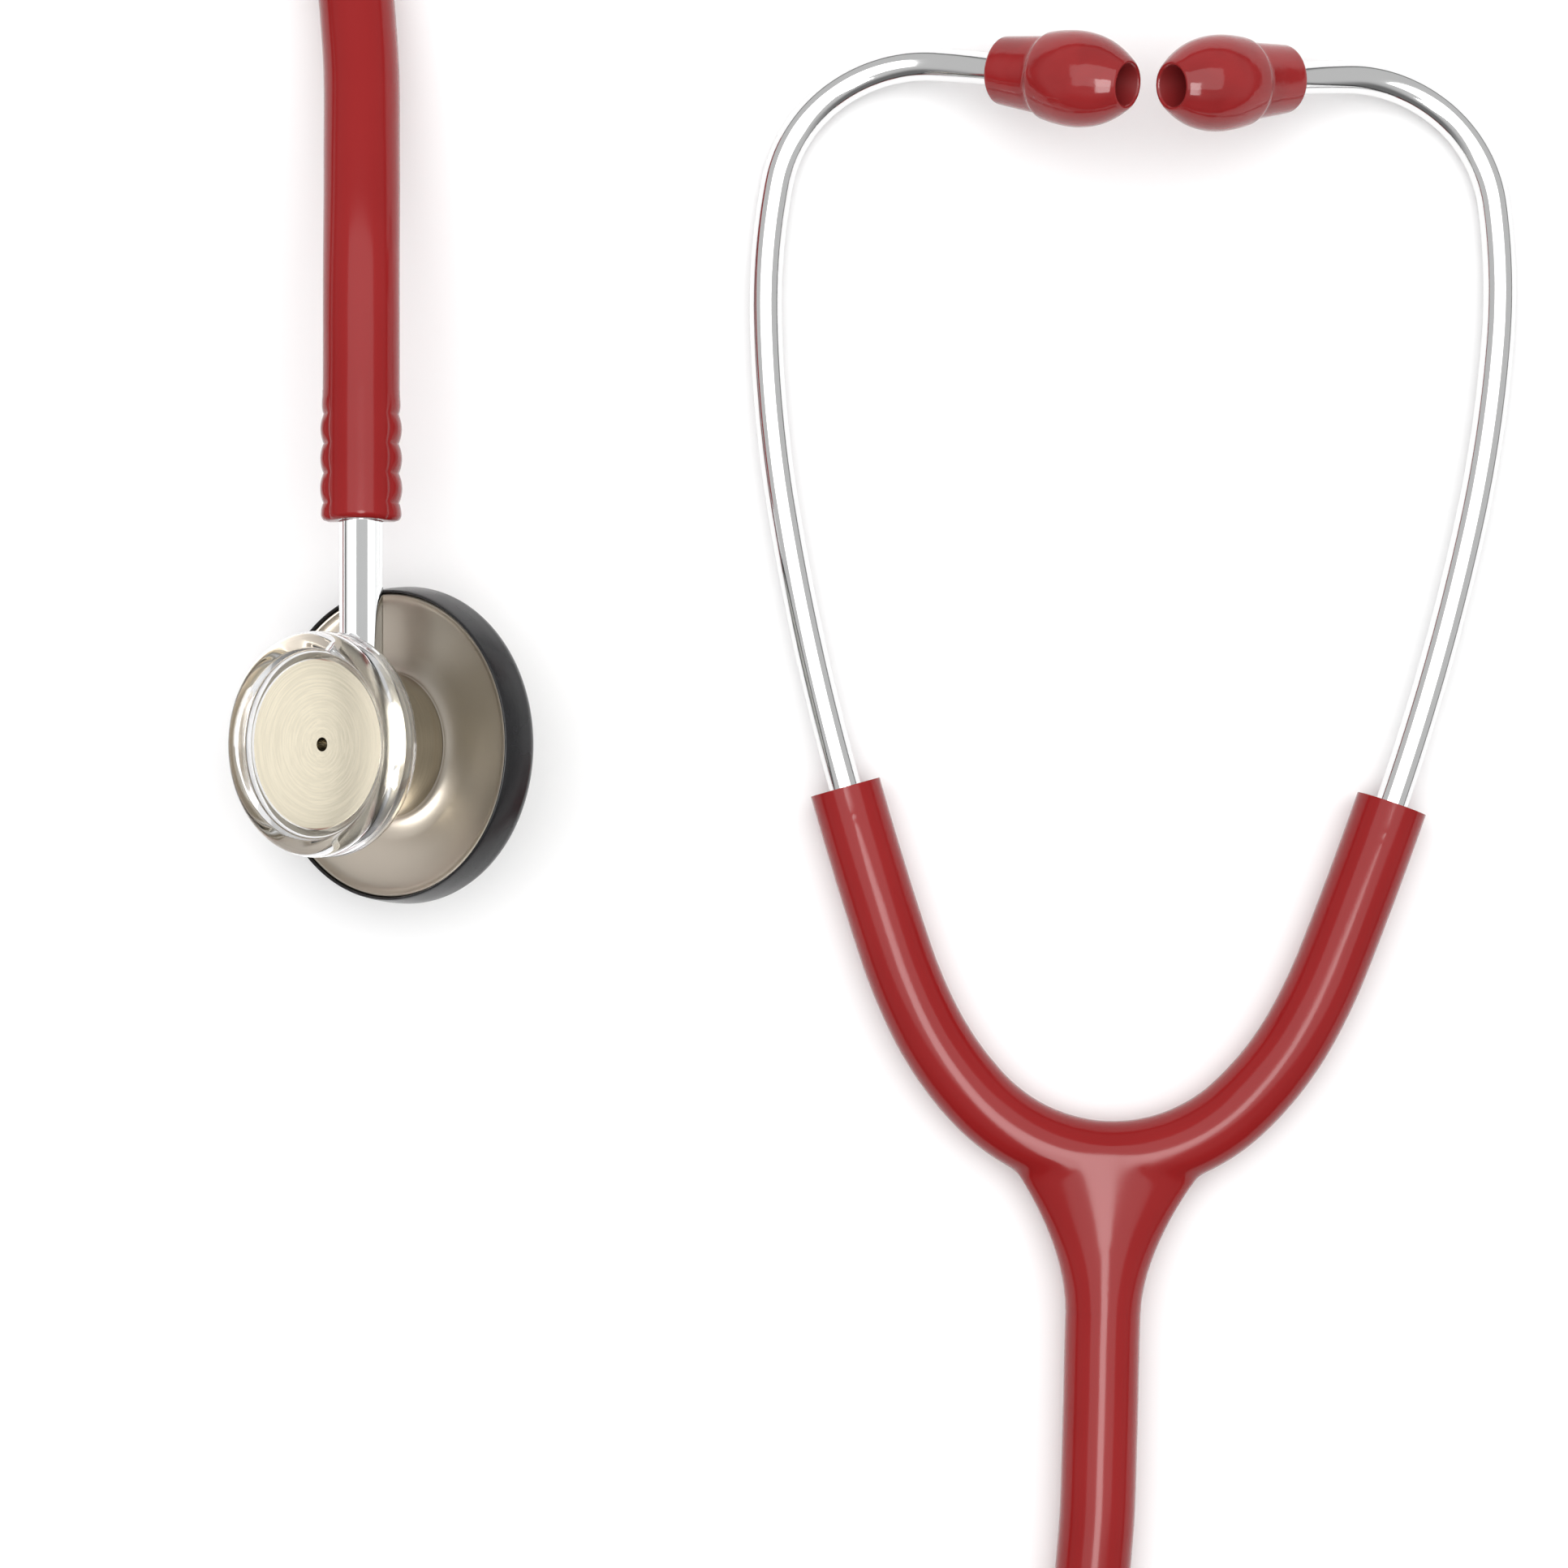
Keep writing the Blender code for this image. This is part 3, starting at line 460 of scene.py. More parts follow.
def plain_finish(name, colour, roughness, metallic=0.0, scale=600):
    """For the small pieces inside: a little uneven in tone and gloss."""
    finish = Finish(name, colour, metallic=metallic)
    place = finish.place()
    patches = finish.noise(place, scale, 3)
    finish.colour(finish.mixed(patches, colour, shade(colour, 0.8)))
    finish.roughness(roughness + 0.12 * patches)
    finish.relief(finish.noise(place, 4 * scale, 2), 0.00001, 0.3)
    return finish.material


# -------------------- mesh building

def arc(center, radii, start, end, steps):
    """Outline points on an ellipse's arc, angles in degrees."""
    points = []
    for step in range(steps + 1):
        angle = math.radians(start + (end - start) * step / steps)
        points.append((center[0] + radii[0] * math.cos(angle), center[1] + radii[1] * math.sin(angle)))
    return points


def smooth_outline(points, steps):
    """A smooth curve through the outline's points."""
    padded = [points[0], *points, points[-1]]
    curve = []
    for before, start, end, after in zip(padded, padded[1:], padded[2:], padded[3:]):
        for step in range(steps):
            curve.append(between(before, start, end, after, step / steps))
    curve.append(points[-1])
    return curve


def between(before, start, end, after, t):
    return tuple(
        0.5 * (2 * s + (e - b) * t + (2 * b - 5 * s + 4 * e - a) * t ** 2 + (3 * s - b - 3 * e + a) * t ** 3)
        for b, s, e, a in zip(before, start, end, after)
    )


def add_piece(name, mesh, material, sharp=32):
    mesh.name = name
    mesh.shade_smooth()
    mesh.set_sharp_from_angle(angle=math.radians(sharp))
    mesh.materials.clear()
    mesh.materials.append(material)
    piece = bpy.data.objects.new(name, mesh)
    bpy.context.scene.collection.objects.link(piece)
    return piece


def finished_mesh(bm, place=None):
    bmesh.ops.remove_doubles(bm, verts=bm.verts[:], dist=WELD)
    bmesh.ops.dissolve_degenerate(bm, edges=bm.edges[:], dist=WELD)
    bmesh.ops.recalc_face_normals(bm, faces=bm.faces[:])
    mesh = bpy.data.meshes.new("piece")
    bm.to_mesh(mesh)
    bm.free()
    if place is not None:
        mesh.transform(place)
    return mesh


def turned_mesh(outline, sides, place=None):
    """A solid turned about local Z from a closed outline of (radius, height) points."""
    bm = bmesh.new()
    corners = [bm.verts.new((radius, 0, height)) for radius, height in outline]
    edges = [bm.edges.new(pair) for pair in zip(corners, corners[1:] + corners[:1])]
    bmesh.ops.spin(
        bm, geom=corners + edges, axis=(0, 0, 1), cent=(0, 0, 0),
        angle=2 * math.pi, steps=sides, use_merge=True,
    )
    return finished_mesh(bm, place)


def swept_curve(name, points, radius, quarter_sides):
    """A round rod along the points, with flat closed ends, as a curve object."""
    curve = bpy.data.curves.new(name, "CURVE")
    curve.dimensions = "3D"
    curve.bevel_depth = radius
    curve.bevel_resolution = quarter_sides
    curve.use_fill_caps = True
    spline = curve.splines.new("POLY")
    spline.points.add(len(points) - 1)
    spline.use_smooth = True
    for target, point in zip(spline.points, points):
        target.co = (*point, 1)
    rod = bpy.data.objects.new(name, curve)
    bpy.context.scene.collection.objects.link(rod)
    return rod


def swept_mesh(points, radius, quarter_sides=8):
    """The same rod as a mesh."""
    rod = swept_curve("rod", points, radius, quarter_sides)
    graph = bpy.context.evaluated_depsgraph_get()
    mesh = bpy.data.meshes.new_from_object(rod.evaluated_get(graph))
    bpy.data.curves.remove(rod.data)
    bm = bmesh.new()
    bm.from_mesh(mesh)
    return finished_mesh(bm)


def reshaped(mesh, steps):
    """The mesh after a row of modifiers, each (kind, settings)."""
    helper = bpy.data.objects.new("helper", mesh)
    bpy.context.scene.collection.objects.link(helper)
    for kind, settings in steps:
        modifier = helper.modifiers.new(kind, kind)
        for key, value in settings.items():
            setattr(modifier, key, value)
    graph = bpy.context.evaluated_depsgraph_get()
    result = bpy.data.meshes.new_from_object(helper.evaluated_get(graph))
    bpy.data.objects.remove(helper)
    return result


def combined(mesh, tool_mesh, operation="DIFFERENCE"):
    """The mesh after a Boolean with the tool's mesh."""
    tool = bpy.data.objects.new("tool", tool_mesh)
    bpy.context.scene.collection.objects.link(tool)
    result = reshaped(mesh, [("BOOLEAN", {"operation": operation, "solver": "EXACT", "object": tool})])
    bpy.data.objects.remove(tool)
    return result


def dress(piece, body, node):
    """The piece rides on the body and stands for the node, which is hidden."""
    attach(piece, body)
    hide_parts(node)


def repaint(node, material):
    """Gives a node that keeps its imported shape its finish."""
    materials = frame["nodes"][node].data.materials
    materials.clear()
    materials.append(material)


# -------------------- headset line

def headset_line(side):
    """(distance, point) along one half of the headset, from the middle of the yoke to the ear."""
    point = Vector((0, 0, 0))
    heading = 90.0
    climb = 0.0
    travelled = 0.0
    line = [(travelled, point.copy())]
    last_bend = (30, 0, 0)
    finer = 2
    for length, turn, lift in ARM_BENDS + EAR_TUBE_BENDS + (last_bend,):
        steps = round(length) * finer
        for step in range(steps):
            along = (step + 0.5) / steps
            bearing = math.radians(heading + turn * along)
            rise = math.radians(climb + lift * along)
            advance = length * MM / steps
            point += advance * Vector((
                side * math.sin(bearing) * math.cos(rise),
                math.cos(bearing) * math.cos(rise),
                math.sin(rise),
            ))
            travelled += advance
            line.append((travelled, point.copy()))
        heading += turn
        climb += lift
    return settle_on_hinge(line, LEFT_HINGE if side < 0 else RIGHT_HINGE)


def settle_on_hinge(line, hinge):
    """Turns the half line as the headset lies, and moves it so that it passes through its hinge."""
    turn = Matrix.Rotation(HEADSET_TURN, 3, "Z")
    turned = [(distance, turn @ point) for distance, point in line]
    shift = hinge - point_at(turned, HINGE_ALONG)
    return [(distance, point + shift) for distance, point in turned]


def point_at(line, distance):
    for (before, start), (after, end) in zip(line, line[1:]):
        if distance <= after:
            return start.lerp(end, max(0.0, (distance - before) / (after - before)))
    (before, start), (after, end) = line[-2:]
    return end + (end - start).normalized() * (distance - after)


def stretch(line, start, end, spacing):
    steps = max(1, round((end - start) / spacing))
    return [point_at(line, start + (end - start) * step / steps) for step in range(steps + 1)]


YOKE_MIDDLE = headset_line(-1)[0][1]
YOKE_BASE = Matrix.Translation((YOKE_MIDDLE.x, YOKE_MIDDLE.y, 0)) @ Matrix.Rotation(HEADSET_TURN, 4, "Z")
YOKE_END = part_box("yoke")[0].y


# -------------------- chestpiece

HUB_RADIUS = 10.5 * MM
SEAM = -5.7 * MM
CUP_RADIUS = 14.0 * MM
CUP_SEAT = 7.6 * MM
FACE_RADIUS = 12.0 * MM
FACE_HEIGHT = 9.5 * MM
FACE_DISH = 1.1 * MM
PORT_RADIUS = 1.25 * MM
SPIGOT_RADIUS = 6.0 * MM
DISC_RADIUS = 21.8 * MM
DISC_DIP = 1.5 * MM
RIM_RADIUS = 22.9 * MM
RIM_BOTTOM = -12.2 * MM
DIAPHRAGM_HEIGHT = -11.4 * MM
HELD_STEP = 0.3 * MM
HELD_HEIGHT = DIAPHRAGM_HEIGHT + HELD_STEP
DETENT_ALONG = 5.0 * MM
SCREW_RADIUS = 1.0 * MM
SCREW_LENGTH = 1.2 * MM
SCREW_SUNK = 0.3 * MM
BEARING_GAP = 0.08 * MM
THREAD_GAP = 0.15 * MM


def hub_outline():
    """The hub: spigot, neck with a fine seam chamfer, flare to the bell seat, and a dished face."""
    chamfer = 0.12 * MM
    flare_start = 3.4 * MM
    edge_height = CUP_SEAT - 1.4 * MM
    flare = arc((CUP_RADIUS, flare_start), (CUP_RADIUS - HUB_RADIUS, edge_height - flare_start), 180, 90, 14)
    shares = [1 - step / 12 for step in range(12)]
    face = [(FACE_RADIUS * share, FACE_HEIGHT - FACE_DISH * (1 - share ** 2)) for share in shares]
    bottom = FACE_HEIGHT - FACE_DISH
    port = [(PORT_RADIUS + chamfer, bottom), (PORT_RADIUS, bottom - chamfer)]
    return [
        (SPIGOT_RADIUS, SEAM - 2 * MM), (SPIGOT_RADIUS, SEAM), (HUB_RADIUS - chamfer, SEAM),
        (HUB_RADIUS, SEAM + chamfer), *flare, (CUP_RADIUS - chamfer, CUP_SEAT),
        (FACE_RADIUS + chamfer / 2, CUP_SEAT), (FACE_RADIUS + chamfer / 2, FACE_HEIGHT - chamfer),
        (FACE_RADIUS - chamfer, FACE_HEIGHT), *face[1:], *port, (PORT_RADIUS, SEAM - 2 * MM),
    ]


def disc_outline():
    """The housing: a fillet out of the neck, a shallow dish, and a bright turned edge."""
    top = SEAM - 0.12 * MM
    low = SEAM - DISC_DIP
    edge = SEAM - 0.1 * MM
    chamfer = 0.12 * MM
    fillet = arc((HUB_RADIUS + 3.6 * MM, top), (3.6 * MM, top - low), 180, 262, 16)
    dish = smooth_outline([fillet[-1], (17.5 * MM, low + 0.12 * MM), (20.4 * MM, low + 0.62 * MM),
                           (21.45 * MM, edge)], 8)
    under = low - 1.3 * MM
    return [
        (SPIGOT_RADIUS + 0.2 * MM, top), (HUB_RADIUS - chamfer, top), (HUB_RADIUS, top - chamfer),
        *fillet[1:], *dish[1:], (21.62 * MM, edge + 0.04 * MM), (21.78 * MM, edge - 0.08 * MM),
        (DISC_RADIUS, edge - 0.5 * MM), (DISC_RADIUS, -10.7 * MM), (20.6 * MM, -10.7 * MM),
        (20.6 * MM, under - 1.4 * MM), (15 * MM, under), (SPIGOT_RADIUS + 0.2 * MM, under),
    ]


def rim_outline():
    """The black rim: a thin inner lip, a groove, and a tall rounded band that turns in underneath."""
    inner = DISC_RADIUS + 0.12 * MM
    lip = smooth_outline([
        (inner, SEAM - 0.5 * MM), (inner + 0.02 * MM, SEAM + 0.12 * MM), (inner + 0.18 * MM, SEAM + 0.3 * MM),
        (inner + 0.4 * MM, SEAM + 0.1 * MM), (inner + 0.62 * MM, SEAM - 0.9 * MM),
        (RIM_RADIUS - 0.12 * MM, -8.3 * MM), (RIM_RADIUS, -10.0 * MM),
    ], 6)
    foot = arc((RIM_RADIUS - 2.2 * MM, -10.0 * MM), (2.2 * MM, -10.0 * MM - RIM_BOTTOM), 0, -90, 14)
    tongue = 19.4 * MM
    return [
        *lip, *foot[1:], (tongue + 0.2 * MM, RIM_BOTTOM), (tongue, RIM_BOTTOM + 0.2 * MM),
        (tongue, HELD_HEIGHT - 0.1 * MM), (inner, HELD_HEIGHT - 0.1 * MM),
    ]


def bell_ring_outline():
    """The clear ring: a full round lip outside, and a soft trough that falls to the metal face."""
    inner = FACE_RADIUS + 0.12 * MM
    outer = 16.0 * MM
    floor = CUP_SEAT + 0.04 * MM
    skirt = CUP_RADIUS + 0.06 * MM
    top = 11.4 * MM
    lip_radius = 1.5 * MM
    lip = arc((outer - lip_radius, top - lip_radius), (lip_radius, lip_radius), 0, 128, 20)
    trough = smooth_outline([
        lip[-1], (13.1 * MM, 10.25 * MM), (12.45 * MM, 9.9 * MM), (inner, 9.75 * MM),
    ], 8)
    turn_in = arc((outer - 1.0 * MM, floor - 0.6 * MM), (1.0 * MM, 1.2 * MM), -90, 0, 12)
    return [(inner, floor), (skirt, floor), (skirt, floor - 1.8 * MM), *turn_in, *lip, *trough[1:]]


def diaphragm_outline():
    """A thin sheet with a shallow groove that lets it flex, its face a little below its held edge."""
    low = DIAPHRAGM_HEIGHT
    thick = 0.38 * MM
    groove_in = 16.4 * MM
    groove_out = 17.8 * MM
    lift = 0.25 * MM
    face_edge = 18.8 * MM
    held_from = face_edge + HELD_STEP
    edge = DISC_RADIUS - 0.1 * MM
    under = [
        (0, low), (groove_in, low), (groove_in + 0.4 * MM, low + lift), (groove_out - 0.4 * MM, low + lift),
        (groove_out, low), (face_edge, low), (held_from, low + HELD_STEP), (edge, low + HELD_STEP),
    ]
    return under + [(radius, height + thick) for radius, height in reversed(under)]


def rod_mesh(start, end, radius, sides=48):
    """A straight rod between two points."""
    span = end - start
    bm = bmesh.new()
    bmesh.ops.create_cone(
        bm, cap_ends=True, segments=sides, radius1=radius, radius2=radius, depth=span.length
    )
    place = Matrix.Translation((start + end) / 2) @ span.to_track_quat("Z", "Y").to_matrix().to_4x4()
    return finished_mesh(bm, place)


class STETH_OT_hub(bpy.types.Operator):
    """Builds the turned hub with its bell cup, stem bearing and set screw bore"""
    bl_idname = "steth.hub"
    bl_label = "Hub"

    def execute(self, context):
        sides = context.scene.steth_chestpiece.sides
        mesh = turned_mesh(hub_outline(), sides)
        past = 2 * HUB_RADIUS
        bearing = rod_mesh(Vector((0, 0, 0)), Vector((0, past, 0)), STEM_RADIUS + BEARING_GAP, 96)
        mesh = combined(mesh, bearing)
        start = Vector((-STEM_RADIUS, DETENT_ALONG, 0))
        bore = rod_mesh(start, start - Vector((past, 0, 0)), SCREW_RADIUS + THREAD_GAP, 40)
        mesh = combined(mesh, bore)
        mesh.transform(HEAD)
        dress(add_piece("hub_body", mesh, brushed_finish()), "chestpiece", "hub")
        return {"FINISHED"}


def turned_piece(name, outline, material, node):
    """A piece turned about the chestpiece's own axis."""
    mesh = turned_mesh(outline, bpy.context.scene.steth_chestpiece.sides, HEAD)
    dress(add_piece(name, mesh, material), "chestpiece", node)


class STETH_OT_housing(bpy.types.Operator):
    """Builds the flared disc, the black rim and the diaphragm"""
    bl_idname = "steth.housing"
    bl_label = "Diaphragm side"

    def execute(self, context):
        steel = bpy.data.materials["brushed_steel"]
        turned_piece("housing_disc", disc_outline(), steel, "diaphragm_housing")
        turned_piece("rim_band", rim_outline(), rim_finish(), "rim_ring")
        turned_piece(
            "diaphragm_sheet", diaphragm_outline(), diaphragm_finish(), "diaphragm"
        )
        return {"FINISHED"}


class STETH_OT_bell(bpy.types.Operator):
    """Builds the clear ring round the bell"""
    bl_idname = "steth.bell"
    bl_label = "Bell ring"

    def execute(self, context):
        turned_piece("bell_clear_ring", bell_ring_outline(), clear_finish(), "bell_ring")
        return {"FINISHED"}


class STETH_OT_detent(bpy.types.Operator):
    """Builds the set screw, and finishes the ball, the coil spring, the seal and the snap ring"""
    bl_idname = "steth.detent"
    bl_label = "Detent and seals"

    def execute(self, context):
        outer = math.sqrt(HUB_RADIUS ** 2 - DETENT_ALONG ** 2) - SCREW_SUNK
        start = Vector((-outer + SCREW_LENGTH, DETENT_ALONG, 0))
        end = Vector((-outer, DETENT_ALONG, 0))
        mesh = combined(rod_mesh(start, end, SCREW_RADIUS), self.socket(start, end))
        mesh.transform(HEAD)
        metal = plain_finish("spring_steel", (0.4, 0.4, 0.41), 0.25, 1.0)
        dress(add_piece("set_screw", mesh, metal), "chestpiece", "detent_screw")
        seal = plain_finish("seal_rubber", (0.02, 0.02, 0.02), 0.45)
        for node in ("detent_ball", "detent_spring", "stem_clip"):
            repaint(node, metal)
        repaint("stem_seal", seal)
        return {"FINISHED"}

    def socket(self, start, end):
        """The six-sided hole for a key in the screw's outer end."""
        outwards = (end - start).normalized()
        return rod_mesh(start.lerp(end, 0.4), end + outwards * MM, 0.55 * SCREW_RADIUS, 6)


# -------------------- stem and tubing

def stem_outline():
    """The stem from inside the hub to its chamfered end inside the tube."""
    inner_end = -4.0 * MM
    bore_end = -1.2 * MM
    bore = 1.6 * MM
    chamfer = 0.2 * MM
    held = 15.5 * MM
    far_end = GRIP_START - SWIVEL.y + held
    radius = STEM_RADIUS
    return [
        (0, inner_end), (radius - chamfer, inner_end), (radius, inner_end + chamfer),
        (radius, far_end - 2 * chamfer), (radius - 2 * chamfer, far_end),
        (bore, far_end), (bore, bore_end), (0, bore_end),
    ]


class STETH_OT_stem(bpy.types.Operator):
    """Builds the chromed stem"""
    bl_idname = "steth.stem"
    bl_label = "Stem"

    def execute(self, context):
        piece = add_piece("stem_shaft", turned_mesh(stem_outline(), 96, STEM), chrome_finish())
        dress(piece, "tubing", "stem")
        return {"FINISHED"}


def ridge_height(along):
    """The side ridges' height, along 0 at the mouth and 1 where they fade out, each a soft bulge."""
    ridges = 4.2
    fade = min(1.0, 5 * (1 - along)) * min(1.0, 6 * along + 0.25)
    bulge = abs(math.cos(math.pi * (ridges * along - 0.05)))
    return fade * (1.5 * bulge ** 0.8 - 0.75)


def grip_shape(mesh, radius, ridge, length):
    """Pushes the plain sleeve's skin out into side ridges, with a line along each smooth panel."""
    panel = math.radians(51)
    for vertex in mesh.vertices:
        x, y, z = vertex.co
        reach = math.hypot(x, y)
        if reach < radius * 0.9:
            continue
        along = min(1.0, max(0.0, z / length))
        lean = math.atan2(abs(x), abs(y) + 1e-9)
        swing = ridge_height(along)
        border = panel + math.radians(3.5) * swing
        side = smooth_share((lean - border) / math.radians(16))
        line_reach = (lean - border) / math.radians(2.6)
        line = math.exp(-line_reach ** 2) * min(1.0, 4 * (1 - along))
        push = ridge * swing * side + 0.12 * MM * side * (1 - along) - 0.13 * MM * line
        factor = 1 + push / reach
        vertex.co.x *= factor
        vertex.co.y *= factor


def smooth_share(value):
    share = min(1.0, max(0.0, value))
    return share * share * (3 - 2 * share)


def grip_mesh(radius, ridge):
    """The tube's moulded end, its axis along local Z from the mouth."""
    length = GRIP_END - GRIP_START
    bore = STEM_RADIUS + 0.04 * MM
    rings = 150
    top = length + 0.6 * MM
    outer_round = 0.9 * MM
    inner_round = 0.35 * MM
    round_over = arc((radius - outer_round, outer_round), (outer_round, outer_round), -90, 0, 8)
    skin = [(radius, outer_round + (top - outer_round) * step / rings) for step in range(1, rings + 1)]
    mouth = arc((bore + inner_round, inner_round), (inner_round, inner_round), -180, -90, 4)
    mesh = turned_mesh([*mouth, *round_over, *skin, (bore, top)], 180)
    grip_shape(mesh, radius, ridge, length)
    droop = 0.35 * MM
    droop_end = 2 * MM
    for vertex in mesh.vertices:
        if vertex.co.z < droop_end:
            lean = math.atan2(abs(vertex.co.x), abs(vertex.co.y) + 1e-9)
            vertex.co.z -= droop * (1 - vertex.co.z / droop_end) * math.sin(lean) ** 2
    return mesh


class STETH_OT_grip(bpy.types.Operator):
    """Builds the tube's moulded grip end"""
    bl_idname = "steth.grip"
    bl_label = "Grip end"

    def execute(self, context):
        settings = context.scene.steth_tubing
        mesh = grip_mesh(settings.radius + 0.02 * MM, settings.ridge)
        mesh.transform(STEM @ Matrix.Translation((0, 0, GRIP_START - SWIVEL.y)))
        piece = add_piece("tube_grip", mesh, rubber_finish(), sharp=70)
        dress(piece, "tubing", "tube_grip_end")
        return {"FINISHED"}


def tube_course(radius):
    """The free tube's course in metres, in the frame."""
    points = []
    for x, y, share in TUBE_COURSE:
        height = radius + (SWIVEL.z - radius) * share
        points.append(Vector((SWIVEL.x + x * MM, GRIP_END + y * MM, height)))
    return points


class STETH_OT_tube(bpy.types.Operator):
    """Lays the free tube along its course"""
    bl_idname = "steth.tube"
    bl_label = "Free tube"

    def execute(self, context):
        radius = context.scene.steth_tubing.radius
        course = tube_course(radius)
        tucked_in = Vector((0, 1.0 * MM, 0))
        padded = [course[0] - tucked_in, *course, course[-1] + tucked_in]
        tube = swept_curve("free_tube_skin", smooth_outline(padded, 9), radius, 14)
        tube.data.materials.append(bpy.data.materials["red_rubber"])
        dress(tube, "tubing", "free_tube")
        return {"FINISHED"}


# -------------------- yoke

def trunk_mesh(radius, arm_radius):
    """The yoke's trunk in its own frame: round at the tube, and flared sideways into the U."""
    rise = YOKE_MIDDLE.y - YOKE_END
    steps = 48
    spare = 5 * MM
    reach = rise + spare + 2 * MM
    points = [Vector((0, -rise - spare + reach * step / steps, radius)) for step in range(steps + 1)]
    mesh = swept_mesh(points, radius, 10)
    flare_height = 16 * MM
    for vertex in mesh.vertices:
        height = max(vertex.co.y + rise, 0.0)
        vertex.co.x *= 1 + 0.95 * (height / flare_height) ** 1.75
        thinning = 1 - (1 - arm_radius / radius) * smooth_share(height / rise)
        vertex.co.z = radius + (vertex.co.z - radius) * thinning
    return mesh


def yoke_solid(settings):
    """Arms and trunk melted into one skin, then cut flat at its three ends."""
    swell = 0.2 * MM
    trunk_swell = 0.11 * MM
    spacing = 1.2 * MM
    line = {side: headset_line(side) for side, _ in SIDES}
    far = ARM_LENGTH + 3 * MM
    path = stretch(line[-1], 0, far, spacing)[::-1] + stretch(line[1], 0, far, spacing)[1:]
    arms = swept_mesh(path, settings.arm_radius + swell, 10)
    trunk = trunk_mesh(settings.radius + trunk_swell, settings.arm_radius + swell)
    trunk.transform(YOKE_BASE @ Matrix.Translation((0, 0, -trunk_swell)))
    whole = combined(arms, trunk, "UNION")
    melted = reshaped(whole, [
        ("REMESH", {"mode": "VOXEL", "voxel_size": 0.5 * MM, "use_smooth_shade": True}),
        ("SMOOTH", {"factor": 0.5, "iterations": 26}),
    ])
    bm = bmesh.new()
    bm.from_mesh(melted)
    for half in line.values():
        end = point_at(half, ARM_LENGTH)
        slice_off(bm, end, (point_at(half, ARM_LENGTH + MM) - end).normalized())
    base = YOKE_BASE @ Vector((0, YOKE_END - YOKE_MIDDLE.y, 0))
    slice_off(bm, base, YOKE_BASE.to_3x3() @ Vector((0, -1, 0)))
    return finished_mesh(bm), line


def slice_off(bm, point, outwards):
    """Cuts away what lies past the plane, and closes the cut."""
    geometry = bm.verts[:] + bm.edges[:] + bm.faces[:]
    cut = bmesh.ops.bisect_plane(bm, geom=geometry, plane_co=point, plane_no=outwards, clear_outer=True)
    edges = [item for item in cut["geom_cut"] if isinstance(item, bmesh.types.BMEdge)]
    bmesh.ops.holes_fill(bm, edges=edges)


class STETH_OT_yoke(bpy.types.Operator):
    """Builds the yoke in two halves, with a bore for each ear tube"""
    bl_idname = "steth.yoke"
    bl_label = "Yoke"

    def execute(self, context):
        solid, line = yoke_solid(context.scene.steth_tubing)
        bore_radius = context.scene.steth_headset.tube_radius + 0.05 * MM
        for half in line.values():
            bore = stretch(half, ARM_LENGTH - 9 * MM, ARM_LENGTH + 2 * MM, 1.5 * MM)
            solid = combined(solid, swept_mesh(bore, bore_radius, 8))
        for side, name in SIDES:
            mesh = half_of(solid, side)
            piece = add_piece(f"yoke_{name}_half", mesh, bpy.data.materials["red_rubber"], sharp=50)
            bend_with_ear_tube(piece, side)
            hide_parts("yoke")
        return {"FINISHED"}


def half_of(mesh, side):
    """One side's half of a closed mesh that crosses the middle of the yoke."""
    bm = bmesh.new()
    bm.from_mesh(mesh)
    bmesh.ops.remove_doubles(bm, verts=bm.verts[:], dist=WELD)
    slice_off(bm, YOKE_MIDDLE, YOKE_BASE.to_3x3() @ Vector((-side, 0, 0)))
    return finished_mesh(bm)


def bend_with_ear_tube(piece, side):
    """Bakes the half's placement into its mesh. The hinge's span is found, but no bend is made."""
    line = headset_line(side)
    bend = 13 * MM
    start = point_at(line, HINGE_ALONG - bend)
    end = point_at(line, HINGE_ALONG + bend)
    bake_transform(piece)


class STETH_OT_leaf_spring(bpy.types.Operator):
    """Cuts the flat spring inside the yoke in two halves"""
    bl_idname = "steth.leaf_spring"
    bl_label = "Leaf spring"

    def execute(self, context):
        for side, name in SIDES:
            mesh = half_of(frame["nodes"]["leaf_spring"].data, side)
            strip = add_piece(f"spring_{name}_half", mesh, bpy.data.materials["spring_steel"])
            bend_with_ear_tube(strip, side)
            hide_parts("leaf_spring")
        return {"FINISHED"}


# -------------------- headset

TIP_SOCKET_END = 9 * MM
TIP_MOUTH_RADIUS = 3.0 * MM


def tip_place(side):
    """Where the ear tip's base is, turned so that local Z runs out along the tip."""
    line = headset_line(side)
    base = point_at(line, TIP_START)
    direction = (point_at(line, TIP_START + 20 * MM) - base).normalized()
    return Matrix.Translation(base) @ direction.to_track_quat("Z", "Y").to_matrix().to_4x4()


